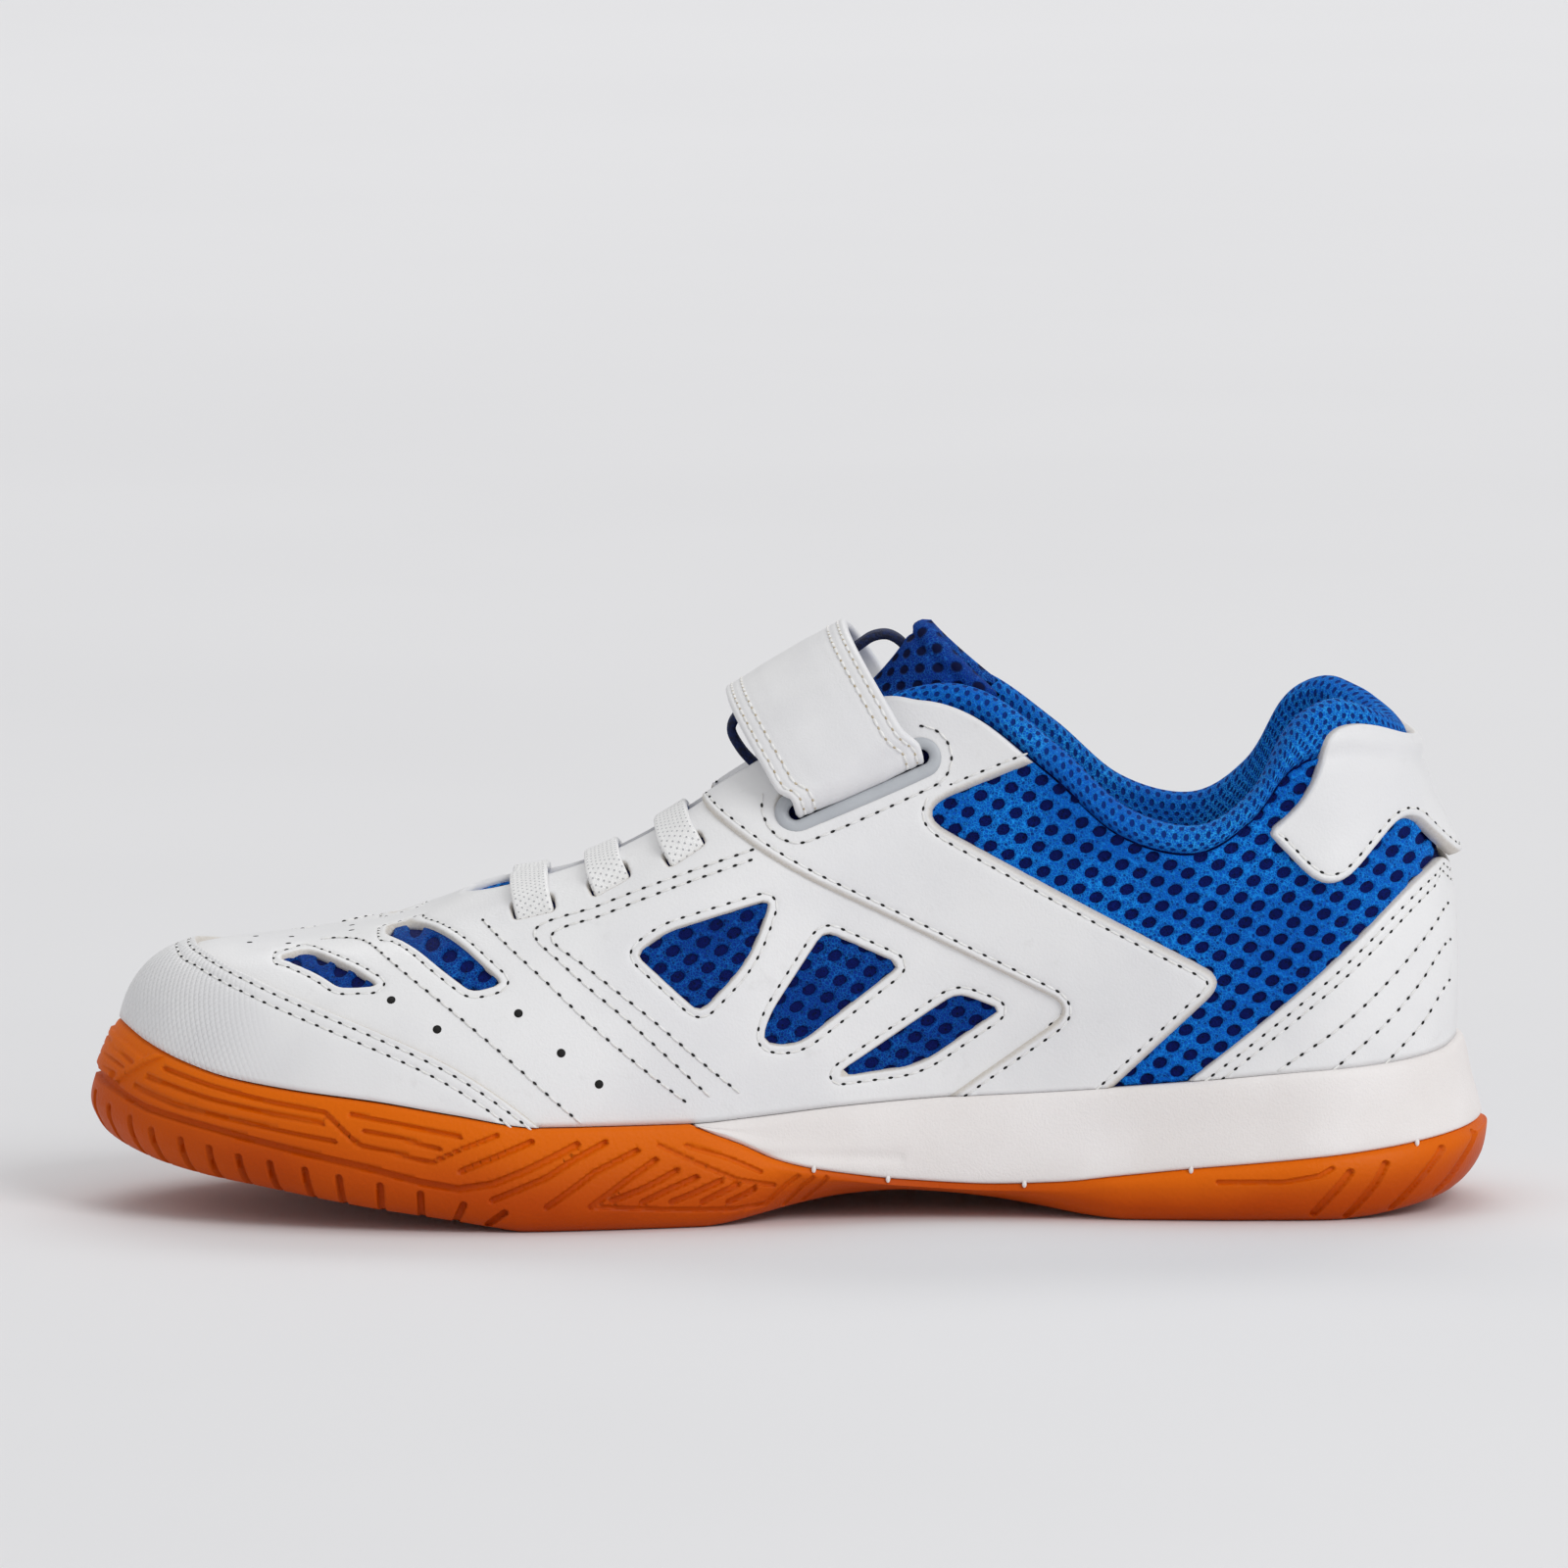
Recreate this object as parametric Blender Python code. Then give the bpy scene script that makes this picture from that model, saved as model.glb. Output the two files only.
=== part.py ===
"""Right-foot indoor court shoe with an elastic lace front and one instep strap.

The pieces are modelled on one last. Stations run from the heel (0) to the toe along +X, the inner
side of the foot is +Y and the outer side -Y, and +Z is up from the floor. Tables and sizes are in
millimetres and become metres where a mesh is made.
"""

import math
from collections import namedtuple

import bmesh
import bpy
import numpy as np
from mathutils import Matrix, Vector

MM = 0.001

# Driving dimensions of the shoe, in millimetres
SHOE_LENGTH = 236.0
AXIS_SHIFT = 0.6         # the last's axis lies this far to the outer side of the box's middle
FIT_GAP = 0.3            # air between pieces that meet
PANEL_GAP = 0.45         # air between the upper and the panels laid on it
MESH_WALL = 2.2          # spacer mesh and its lining
COLLAR_FOAM = 3.2        # foam that thickens the wall round the ankle
COLLAR_ROLL = 1.2        # how far the rolled collar stands out of the wall
SOLE_RIM = 2.4           # thickness of the sole's side wall at its top edge
FOAM_LIP = 1.8           # the foam reaches at least this far out of the upper inside the outsole's wall
INSOLE_THICKNESS = 3.5
OVERLAY_THICKNESS = 1.2  # synthetic leather panels
SADDLE_THICKNESS = 1.8   # the strap's panel, laid over the front panel
CAP_THICKNESS = 1.7
TAB_THICKNESS = 1.9
STRAP_WIDTH = 23.5
STRAP_THICKNESS = 2.0
ELASTIC_WIDTH = 6.4
ELASTIC_THICKNESS = 1.5
TONGUE_THICKNESS = 4.6
LOOP_WIDTH = 5.0
LOOP_THICKNESS = 1.0

CORNER_STEPS = 2
WELD_DISTANCE = 0.05

# One row for each rib of the upper, from the back of the heel to the tip of the toe.
#   foot, foot_in, foot_out   station and half widths where the rib leaves the sole's floor
#   top, top_half, top_z      station, half width and height where it meets the opening
#   rise, flare               its tangent at the foot: upwards, and outwards
#   reach, drop               its tangent at the opening: outwards, and downwards
#   foam                      share of the collar's foam and roll
Rib = namedtuple("Rib", "foot foot_in foot_out top top_half top_z rise flare reach drop foam")
RIBS = [
    Rib(7.5, 0.0, 0.0, 15.5, 0.0, 79.6, 34.0, 1.5, 9.0, 24.0, 1.0),
    Rib(9.6, 11.5, 11.5, 17.5, 8.5, 81.2, 34.0, 1.5, 8.5, 24.0, 1.0),
    Rib(16.0, 19.5, 19.5, 21.5, 14.5, 83.4, 32.0, 2.0, 6.5, 24.0, 1.0),
    Rib(27.0, 24.5, 25.0, 27.0, 19.0, 84.4, 30.0, 2.5, 4.5, 24.0, 1.0),
    Rib(40.0, 26.0, 27.0, 33.5, 22.5, 80.4, 26.0, 2.5, 3.0, 22.0, 1.0),
    Rib(51.0, 26.0, 27.8, 40.5, 24.5, 69.4, 22.0, 2.5, 2.0, 18.0, 1.0),
    Rib(63.0, 25.2, 28.6, 50.0, 25.5, 63.6, 20.0, 2.5, 2.0, 16.0, 1.0),
    Rib(78.0, 24.0, 30.0, 62.5, 25.0, 66.7, 20.0, 2.5, 3.0, 17.0, 1.0),
    Rib(94.0, 24.2, 32.0, 74.0, 22.3, 76.6, 22.0, 3.0, 5.0, 20.0, 1.0),
    Rib(109.0, 26.5, 34.5, 87.0, 17.5, 86.2, 24.0, 3.5, 8.5, 21.0, 0.9),
    Rib(123.0, 30.0, 36.6, 99.0, 15.5, 87.4, 26.0, 3.5, 13.0, 19.0, 0.3),
    Rib(133.2, 33.4, 37.9, 113.0, 14.3, 79.8, 26.5, 3.5, 15.5, 15.0, 0.0),
    Rib(148.0, 37.0, 38.5, 126.0, 13.3, 71.9, 27.0, 3.5, 17.5, 12.0, 0.0),
    Rib(160.0, 39.0, 38.2, 138.5, 12.3, 63.8, 26.5, 3.5, 19.0, 9.0, 0.0),
    Rib(173.0, 39.6, 36.6, 150.0, 11.3, 58.0, 26.0, 3.5, 20.5, 7.5, 0.0),
    Rib(187.0, 38.4, 33.2, 159.5, 10.0, 54.7, 27.5, 3.5, 22.0, 8.0, 0.0),
    Rib(200.5, 34.8, 27.8, 166.0, 8.0, 52.8, 30.0, 3.3, 24.0, 10.5, 0.0),
    Rib(213.0, 28.4, 20.4, 170.0, 5.5, 51.8, 33.0, 3.0, 26.5, 13.0, 0.0),
    Rib(223.2, 18.4, 10.4, 171.7, 2.8, 51.3, 36.5, 2.7, 29.0, 15.5, 0.0),
    Rib(229.3, 4.0, -4.0, 172.2, 0.0, 51.2, 38.5, 2.5, 31.0, 17.0, 0.0),
]
TOE_RIB = len(RIBS) - 1
RIB_COUNT = 2 * TOE_RIB  # round both sides

# Heights along the shoe, as (station, height)
TREAD_LINE = [
    (0, 6.5), (4, 4.6), (8, 3.0), (14, 1.6), (22, 0.35), (28, 0), (60, 0), (68, 0.6), (76, 1.7),
    (84, 2.8), (92, 3.7), (100, 4.2), (109, 3.7), (117, 2.7), (124, 1.4), (129, 0.4), (133, 0),
    (161.5, 0), (168, 0.9), (174, 1.9), (190, 4.2), (207, 6.9), (216, 8.1), (224, 9.5), (236, 12.5),
]
BITE_LINE = [
    (0, 29.8), (4, 29.4), (10, 27.2), (20, 25.9), (33, 25.0), (50, 23.5), (75, 21.5), (92, 20.6),
    (109, 19.4), (126, 17.9), (135, 17.4), (159, 17.4), (174, 19.6), (187, 21.7), (201, 23.2),
    (211, 24.6), (218, 26.4), (224, 28.6), (230, 31.3), (236, 32.0),
]
GUM_LINE = [
    (0, 16.7), (5, 14.8), (12, 13.4), (20, 12.1), (33, 10.6), (50, 9.1), (63, 7.7), (73, 6.6),
    (84, 6.2), (100, 7.1), (109, 8.3), (117, 9.8), (122, 11.3), (127, 13.7), (132, 15.9), (135, 17.4),
]
FLOOR_LINE = [
    (0, 17.8), (30, 16.5), (60, 14.4), (90, 11.5), (110, 9.5), (125, 8.3), (140, 7.8), (158, 7.8),
    (175, 9.3), (190, 11.5), (207, 14.2), (222, 17.0), (232, 18.8),
]
DISH_LINE = [
    (0, 10.0), (8, 7.4), (14, 5.8), (28, 4.3), (60, 4.1), (76, 4.4), (90, 5.0), (100, 5.6),
    (117, 6.2), (135, 6.7),
]
FLARE_LINE = [(0, 4.8), (15, 3.6), (40, 2.6), (120, 2.4), (190, 2.8), (215, 3.8), (236, 4.8)]
TUCK_LINE = [(0, 0), (62, 0), (86, 4.0), (106, 4.0), (128, 0), (236, 0)]
INSTEP_LINE = [(0, 0), (95, 0), (106, 1.6), (118, 2.4), (148, 2.4), (160, 1.5), (168, 0), (236, 0)]
GUM_TIP = 135.0          # station where the outsole's side wall reaches the bite line
WIDEST_ABOVE_TREAD = 6.5
EDGE_ROUNDING = 0.9      # how far the side draws in again towards the tread
INNER_TUCK = 1.4         # the inner side of the waist is cut in more than the outer


def curve_through(points):
    """A smooth height curve through (station, height) points that never overshoots them."""
    at, height = np.array(points, float).T
    step = np.diff(at)
    slope = np.diff(height) / step
    same_way = slope[:-1] * slope[1:] > 0
    total = np.where(same_way, slope[:-1] + slope[1:], 1.0)
    inner = np.where(same_way, 2 * slope[:-1] * slope[1:] / total, 0.0)
    tangent = np.concatenate([slope[:1], inner, slope[-1:]])

    def value(station):
        station = np.clip(station, at[0], at[-1])
        i = np.clip(np.searchsorted(at, station, side="right") - 1, 0, len(step) - 1)
        t = (station - at[i]) / step[i]
        start = (1 + 2 * t) * (1 - t) ** 2 * height[i] + t * (1 - t) ** 2 * step[i] * tangent[i]
        end = t * t * (3 - 2 * t) * height[i + 1] + t * t * (t - 1) * step[i] * tangent[i + 1]
        return start + end

    return value


tread_height = curve_through(TREAD_LINE)
bite_height = curve_through(BITE_LINE)
gum_height = curve_through(GUM_LINE)
floor_height = curve_through(FLOOR_LINE)
dish_height = curve_through(DISH_LINE)
side_flare = curve_through(FLARE_LINE)
waist_tuck = curve_through(TUCK_LINE)
instep_drop = curve_through(INSTEP_LINE)


def smooth_step(low, high, value):
    t = np.clip((value - low) / (high - low), 0, 1)
    return t * t * (3 - 2 * t)


# The last: ribs blended round the shoe, each one a cubic from the sole's floor to the opening

def rib_controls(rib, side):
    """The four control points of one rib, on the inner (+1) or outer (-1) side."""
    across = rib.foot_in if side > 0 else -rib.foot_out
    foot = np.array([rib.foot, across, floor_height(rib.foot) + FIT_GAP])
    top = np.array([rib.top, side * rib.top_half, rib.top_z])
    if side < 0:
        top[2] -= instep_drop(rib.top)
    away = (foot - top) * (1, 1, 0)
    away /= np.linalg.norm(away)
    up = np.array([0, 0, 1])
    foot_handle = foot + rib.rise * up + rib.flare * away
    top_handle = top + rib.reach * away - rib.drop * up
    return np.array([foot, foot_handle, top_handle, top])


OUTER_RIBS = [rib_controls(rib, -1) for rib in RIBS]
INNER_RIBS = [rib_controls(rib, 1) for rib in RIBS[-2:0:-1]]
RIB_LOOP = np.array(OUTER_RIBS + INNER_RIBS)
FOAM_LOOP = np.array([rib.foam for rib in RIBS] + [rib.foam for rib in RIBS[-2:0:-1]])


def round_loop(values, turn):
    """Reads a closed row of values at `turn`, in ribs from the heel, on a Catmull-Rom curve."""
    turn = np.asarray(turn, float)
    i = np.floor(turn).astype(int)
    t = (turn - i).reshape(turn.shape + (1,) * (values.ndim - 1))
    a, b, c, d = (values[(i + k) % len(values)] for k in (-1, 0, 1, 2))
    return 0.5 * (2 * b + (c - a) * t + (2 * a - 5 * b + 4 * c - d) * t**2
                  + (3 * b - a - 3 * c + d) * t**3)


def last_point(turn, up):
    """Points of the last, before the collar's roll; `up` runs from 0 at the floor to 1 at the opening."""
    controls = round_loop(RIB_LOOP, turn)
    t = np.asarray(up, float)[..., None]
    return ((1 - t) ** 3 * controls[..., 0, :] + 3 * t * (1 - t) ** 2 * controls[..., 1, :]
            + 3 * t * t * (1 - t) * controls[..., 2, :] + t**3 * controls[..., 3, :])


def last_normal(turn, up):
    nudge = 1e-3
    low, high = np.clip(np.asarray(up) - nudge, 0, 1), np.clip(np.asarray(up) + nudge, 0, 1)
    along = last_point(turn + nudge, up) - last_point(turn - nudge, up)
    upward = last_point(turn, high) - last_point(turn, low)
    normal = np.cross(along, upward)
    return normal / np.linalg.norm(normal, axis=-1, keepdims=True)


def skin_point(turn, up, offset=0.0):
    """Points on the outside of the upper, rolled collar included, moved out by `offset`."""
    turn, up = np.broadcast_arrays(np.asarray(turn, float), np.asarray(up, float))
    roll = COLLAR_ROLL * round_loop(FOAM_LOOP, turn) * smooth_step(0.86, 0.93, up)
    return last_point(turn, up) + (roll + offset)[..., None] * last_normal(turn, up)


def wall_thickness(turn, up):
    foam = round_loop(FOAM_LOOP, turn) * smooth_step(0.45, 0.85, up)
    return MESH_WALL + (COLLAR_FOAM + COLLAR_ROLL) * foam


def up_at_height(turn, height):
    """Where a rib crosses a height, by halving."""
    turn = np.asarray(turn, float)
    low, high = np.zeros(turn.shape), np.full(turn.shape, 0.9)
    for _ in range(40):
        middle = (low + high) / 2
        above = last_point(turn, middle)[..., 2] > height
        high = np.where(above, middle, high)
        low = np.where(above, low, middle)
    return (low + high) / 2


def find_on_skin(station, height, side):
    """The (turn, up) whose skin point has this station and height, on the inner (+1) or outer (-1) side."""
    turns = np.linspace(0.2, TOE_RIB - 0.2, 240)
    turns = RIB_COUNT - turns if side > 0 else turns
    ups = np.linspace(0.02, 0.99, 120)
    grid_turn, grid_up = np.meshgrid(turns, ups, indexing="ij")
    points = skin_point(grid_turn, grid_up)
    miss = (points[..., 0] - station) ** 2 + (points[..., 2] - height) ** 2
    best = np.unravel_index(np.argmin(miss), miss.shape)
    spot = np.array([grid_turn[best], grid_up[best]])
    nudge = 1e-3
    for _ in range(4):
        here = skin_point(*spot)[[0, 2]]
        by_turn = (skin_point(spot[0] + nudge, spot[1])[[0, 2]] - here) / nudge
        by_up = (skin_point(spot[0], spot[1] - nudge)[[0, 2]] - here) / -nudge
        spot += np.linalg.solve(np.stack([by_turn, by_up], axis=1), (station, height) - here)
        spot[1] = min(spot[1], 1)
    return spot


# Mesh helpers

def new_collection(name):
    collection = bpy.data.collections.new(name)
    bpy.context.scene.collection.children.link(collection)
    return collection


def paint(name, colour, roughness):
    material = bpy.data.materials.new(name)
    material.use_nodes = True
    shader = material.node_tree.nodes["Principled BSDF"]
    shader.inputs["Base Color"].default_value = (*colour, 1)
    shader.inputs["Roughness"].default_value = roughness
    shader.inputs["Metallic"].default_value = 0
    return material


def add_object(name, mesh, collection, material=None):
    obj = bpy.data.objects.new(name, mesh)
    collection.objects.link(obj)
    obj.parent = shoe_origin
    if material:
        mesh.materials.append(material)
        mesh.shade_smooth()
        mesh.set_sharp_from_angle(angle=math.radians(35))
    return obj


def finish_mesh(bm, name):
    bmesh.ops.recalc_face_normals(bm, faces=bm.faces)
    if bm.calc_volume(signed=True) < 0:
        bmesh.ops.reverse_faces(bm, faces=bm.faces)
    mesh = bpy.data.meshes.new(name)
    bm.to_mesh(mesh)
    bm.free()
    return mesh


def zip_up(bm, ends):
    """Closes a long section with faces from its first points to its last."""
    while len(ends) > 2:
        bm.faces.new(list(dict.fromkeys((ends[0], ends[1], ends[-2], ends[-1]))))
        ends = ends[1:-1]


def loft(name, grid, close_columns=False):
    """A solid from a grid of closed sections: grid[column][point]. Open lofts get end faces.

    The first half of a section runs up the shoe and the second half down, and both halves are split
    into triangles the same way, so that a panel and the upper under it stay parallel.
    """
    columns, points = grid.shape[:2]
    bm = bmesh.new()
    verts = [[bm.verts.new(Vector(p) * MM) for p in section] for section in grid]
    spans = columns if close_columns else columns - 1
    for c in range(spans):
        here, after = verts[c], verts[(c + 1) % columns]
        for p in range(points):
            q = (p + 1) % points
            if p < (points + 1) // 2:
                bm.faces.new((here[p], here[q], after[q]))
                bm.faces.new((here[p], after[q], after[p]))
            else:
                bm.faces.new((here[p], here[q], after[p]))
                bm.faces.new((here[q], after[q], after[p]))
    if not close_columns:
        zip_up(bm, verts[0])
        zip_up(bm, verts[-1])
    return finish_mesh(bm, name)


def slab(name, sheet, thickness):
    """A solid from an open sheet of points, grid[row][column], thickened to both sides of it."""
    along = np.gradient(sheet, axis=0)
    across = np.gradient(sheet, axis=1)
    normal = np.cross(along, across)
    normal /= np.linalg.norm(normal, axis=-1, keepdims=True)
    over, under = sheet + normal * thickness / 2, sheet - normal * thickness / 2
    return loft(name, np.concatenate([over, under[:, ::-1]], axis=1))


def ladder(bm, ring, points, rise, closed):
    """Fills a ring with rungs from side to side and a spine along the middle; returns the spine."""
    count = len(ring)
    heel = 0 if closed else count // 2
    pairs = [((heel + k) % count, (heel - k) % count) for k in range(count // 2 + 1)]
    spine = []
    for outer, inner in pairs:
        middle = (points[outer] + points[inner]) / 2 + (0, 0, rise)
        spine.append(ring[outer] if outer == inner else bm.verts.new(Vector(middle) * MM))
    for k in range(len(pairs) - 1):
        for side in (0, 1):
            corners = [ring[pairs[k][side]], ring[pairs[k + 1][side]], spine[k + 1], spine[k]]
            bm.faces.new(list(dict.fromkeys(corners)))
    return spine


def ring_solid(name, rings, closed=True):
    """A solid from stacked rings, grid[ring][column], with a laddered cap under and over.

    Columns run round the shoe. Rings that are open at the front are zipped up across their ends.
    """
    bm = bmesh.new()
    verts = [[bm.verts.new(Vector(p) * MM) for p in ring] for ring in rings]
    count = rings.shape[1]
    for low, high in zip(verts, verts[1:]):
        for c in range(count if closed else count - 1):
            d = (c + 1) % count
            bm.faces.new((low[c], low[d], high[d], high[c]))
    under = ladder(bm, verts[0], rings[0], 0, closed)
    over = ladder(bm, verts[-1], rings[-1], 0, closed)
    for side in () if closed else (0, -1):
        bm.faces.new((under[-1], verts[0][side], verts[-1][side], over[-1]))
        zip_up(bm, [ring[side] for ring in verts])
    return finish_mesh(bm, name)


def rounded(rows):
    """Outline points in (station, height) from rows of (station, height, size of the rounded corner)."""
    points = []
    for before, row, after in zip(rows[-1:] + rows[:-1], rows, rows[1:] + rows[:1]):
        corner = Vector(row[:2])
        back, ahead = Vector(before[:2]) - corner, Vector(after[:2]) - corner
        if row[2] == 0:
            points.append(corner)
            continue
        start = corner + back.normalized() * min(row[2], 0.48 * back.length)
        end = corner + ahead.normalized() * min(row[2], 0.48 * ahead.length)
        for step in range(CORNER_STEPS + 1):
            t = step / CORNER_STEPS
            points.append((1 - t) ** 2 * start + 2 * t * (1 - t) * corner + t * t * end)
    return points


def beside(edge, distance):
    """An edge of (station, height, corner) rows moved sideways, to the left of its run when positive."""
    points = [Vector(row[:2]) for row in edge]
    moved = []
    for i, row in enumerate(edge):
        run = points[min(i + 1, len(edge) - 1)] - points[max(i - 1, 0)]
        left = Vector((-run.y, run.x)).normalized()
        moved.append((*(points[i] + left * distance), row[2]))
    return moved


def prism(points, low, high):
    """A flat outline in its own x and y, made solid from low to high along z."""
    curve = bpy.data.curves.new("outline", "CURVE")
    curve.dimensions = "2D"
    curve.fill_mode = "BOTH"
    curve.extrude = (high - low) / 2 * MM
    spline = curve.splines.new("POLY")
    spline.points.add(len(points) - 1)
    for spot, point in zip(spline.points, points):
        spot.co = (*(Vector(point) * MM), 0, 1)
    spline.use_cyclic_u = True
    mesh = from_curve(curve)
    mesh.transform(Matrix.Translation((0, 0, (low + high) / 2 * MM)))
    return mesh


def from_curve(curve):
    """The closed mesh of a curve."""
    holder = bpy.data.objects.new("curve", curve)
    mesh = bpy.data.meshes.new_from_object(holder)
    bpy.data.objects.remove(holder)
    bpy.data.curves.remove(curve)
    return welded([mesh])


def welded(meshes):
    """One closed mesh out of several, with doubled points merged and faces turned outwards."""
    bm = bmesh.new()
    for mesh in meshes:
        bm.from_mesh(mesh)
        bpy.data.meshes.remove(mesh)
    bmesh.ops.remove_doubles(bm, verts=bm.verts, dist=1e-6)
    return finish_mesh(bm, "cutter")


def side_prism(rows, near, far):
    """A side-view outline made solid across the shoe, between two distances from its axis."""
    mesh = prism(rounded(rows), -far, -near)
    mesh.transform(Matrix.Rotation(math.pi / 2, 4, "X"))
    return welded([mesh])


def cut(obj, mesh, operation):
    cutter = add_object(f"{obj.name}_{operation.lower()}", mesh, cutters)
    cutter.hide_render = True
    cutter.display_type = "WIRE"
    step = obj.modifiers.new(operation.title(), "BOOLEAN")
    step.operation = operation
    step.solver = "EXACT"
    step.object = cutter
    weld = obj.modifiers.new("Weld", "WELD")
    weld.merge_threshold = WELD_DISTANCE * MM


# The scene

for old in list(bpy.data.objects):
    bpy.data.objects.remove(old, do_unlink=True)
parts = new_collection("table_tennis_shoe")
cutters = new_collection("cutters")
cutters.hide_render = True
shoe_origin = bpy.data.objects.new("shoe_origin", None)
parts.objects.link(shoe_origin)
shoe_origin.location = (-SHOE_LENGTH / 2 * MM, -AXIS_SHIFT * MM, 0)

gum_rubber = paint("gum_rubber", (0.62, 0.21, 0.045), 0.5)
white_foam = paint("white_foam", (0.84, 0.82, 0.81), 0.6)
footbed_foam = paint("footbed_foam", (0.05, 0.1, 0.25), 0.85)
blue_mesh = paint("blue_mesh", (0.01, 0.1, 0.46), 0.75)
blue_padding = paint("blue_padding", (0.012, 0.13, 0.52), 0.8)
white_leather = paint("white_leather", (0.8, 0.8, 0.81), 0.45)
grey_plastic = paint("grey_plastic", (0.58, 0.6, 0.62), 0.35)
white_webbing = paint("white_webbing", (0.78, 0.78, 0.79), 0.7)
white_elastic = paint("white_elastic", (0.74, 0.75, 0.77), 0.8)
navy_webbing = paint("navy_webbing", (0.006, 0.014, 0.06), 0.8)

# Lines of the last that the sole is drawn from

HALF_TURNS = np.concatenate([np.arange(0, 9, 0.5), np.arange(9, 15), np.arange(15, TOE_RIB, 0.5)])
TURNS = np.concatenate([HALF_TURNS, [TOE_RIB], RIB_COUNT - HALF_TURNS[:0:-1]])


def bite_up(turn, clear=0.0):
    """How far up each rib the sole's top edge lies."""
    up = np.full(np.shape(turn), 0.15)
    for _ in range(4):
        station = last_point(turn, up)[..., 0]
        up = up_at_height(turn, bite_height(station) + clear)
    return up


def bite_line(turn):
    """Points of the last along the sole's top edge, and the way out of the shoe there in plan."""
    turn = np.asarray(turn, float)
    ahead, behind = (last_point(turn + step, bite_up(turn + step)) for step in (0.2, -0.2))
    out = np.cross((ahead - behind) * (1, 1, 0), (0, 0, 1.0))
    return last_point(turn, bite_up(turn)), out / np.linalg.norm(out, axis=-1, keepdims=True)


BITE_UP = bite_up(TURNS)
BITE, OUT = bite_line(TURNS)
INNER_SIDE = OUT[:, 1] > 0


def sole_top(station):
    """Top edge of the rubber: under the foam at the back, up to the bite line at the front."""
    return np.where(station < GUM_TIP, gum_height(station), bite_height(station))


def side_offset(station, height):
    """How far the sole's side stands out of the last at a height."""
    widest = tread_height(station) + WIDEST_ABOVE_TREAD
    share = np.clip((height - widest) / (bite_height(station) - widest), 0, 1)
    below = np.clip((widest - height) / 4.1, 0, 1.5)
    return FIT_GAP + SOLE_RIM + side_flare(station) * (1 - share) - EDGE_ROUNDING * below


def sole_ring(offset, height_line):
    """A ring at an offset from the bite line, at the height that height_line gives each station."""
    ring = BITE + OUT * np.broadcast_to(offset, len(BITE))[:, None]
    ring[:, 2] = height_line(ring[:, 0])
    return ring


def wall_ring(share, height=None):
    """A ring just outside the upper, at a share of the way from the floor to the bite line."""
    ring = last_point(TURNS, share * BITE_UP) + OUT * FIT_GAP
    if height is not None:
        ring[:, 2] = height(ring[:, 0])
    return ring


def outsole_mesh():
    station = BITE[:, 0]
    widest = FIT_GAP + SOLE_RIM + side_flare(station)
    tuck = waist_tuck(station) * np.where(INNER_SIDE, INNER_TUCK, 1.0)
    rubber = sole_top(station) - tread_height(station)
    top_offset = side_offset(station, sole_top(station))
    lower = np.minimum(2.4, 0.35 * rubber)
    middle = np.minimum(WIDEST_ABOVE_TREAD, 0.62 * rubber)
    rings = [
        sole_ring(widest - 9 - tuck, tread_height),
        sole_ring(widest - 3.4 - tuck, lambda s: tread_height(s) + 0.1),
        sole_ring(widest - EDGE_ROUNDING - 0.6 * tuck, lambda s: tread_height(s) + lower),
        sole_ring(widest - 0.25 * tuck, lambda s: tread_height(s) + middle),
        sole_ring(side_offset(station, sole_top(station) - 0.8), lambda s: sole_top(station) - 0.7),
        sole_ring(top_offset - 0.5, lambda s: sole_top(station)),
    ]
    under_foam = (station < GUM_TIP)[:, None]
    inner = np.maximum(top_offset - SOLE_RIM, FOAM_LIP)
    rim = sole_ring(inner, lambda s: sole_top(station))
    dish = sole_ring(inner - 0.6, lambda s: dish_height(station))
    rings.append(np.where(under_foam, rim, wall_ring(1, bite_height)))
    rings.append(np.where(under_foam, (rim + dish) / 2, wall_ring(0.5)))
    rings.append(np.where(under_foam, dish, wall_ring(0, floor_height)))
    return ring_solid("outsole", np.array(rings))


def midsole_mesh():
    tip = int(np.flatnonzero(BITE[:len(HALF_TURNS), 0] < GUM_TIP)[-1])
    columns = np.arange(-tip, tip + 1)
    station = BITE[:, 0]
    rim = np.maximum(side_offset(station, gum_height(station)) - SOLE_RIM, FOAM_LIP) - FIT_GAP
    seat = np.minimum(gum_height(station) + FIT_GAP, bite_height(station) - 0.35)
    bulge = (seat + bite_height(station)) / 2
    shoulder = np.maximum(bite_height(station) - 0.8, (bulge + bite_height(station)) / 2)
    rings = [
        sole_ring(rim - 0.6, lambda s: dish_height(station) + FIT_GAP),
        sole_ring(rim, lambda s: seat),
        sole_ring(side_offset(station, seat), lambda s: seat),
        sole_ring(side_offset(station, bulge), lambda s: bulge),
        sole_ring(side_offset(station, shoulder), lambda s: shoulder),
        sole_ring(FIT_GAP + SOLE_RIM - 0.5, lambda s: bite_height(station)),
        wall_ring(1, bite_height),
        wall_ring(0.5),
        wall_ring(0, floor_height),
    ]
    return ring_solid("midsole", np.array(rings)[:, columns], closed=False)


def insole_mesh():
    floor_edge = last_point(TURNS, np.zeros(len(TURNS)))
    edge = (floor_edge - OUT * (MESH_WALL + 2 * FIT_GAP))[::2]
    rings = np.array([edge, edge])
    rings[1, :, 2] += INSOLE_THICKNESS
    return ring_solid("insole", rings)


# The upper: one closed section a column, up the outside, over the rim and down the inside

OUTSIDE_UPS = np.array([0, 0.11, 0.25, 0.39, 0.53, 0.67, 0.79, 0.86, 0.9, 0.94, 1])
INSIDE_UPS = np.array([0.92, 0.7, 0.46, 0.22, 0])
RIM_ANGLES = np.radians([50, 130])
RIM_ROUNDNESS = 0.8


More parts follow.
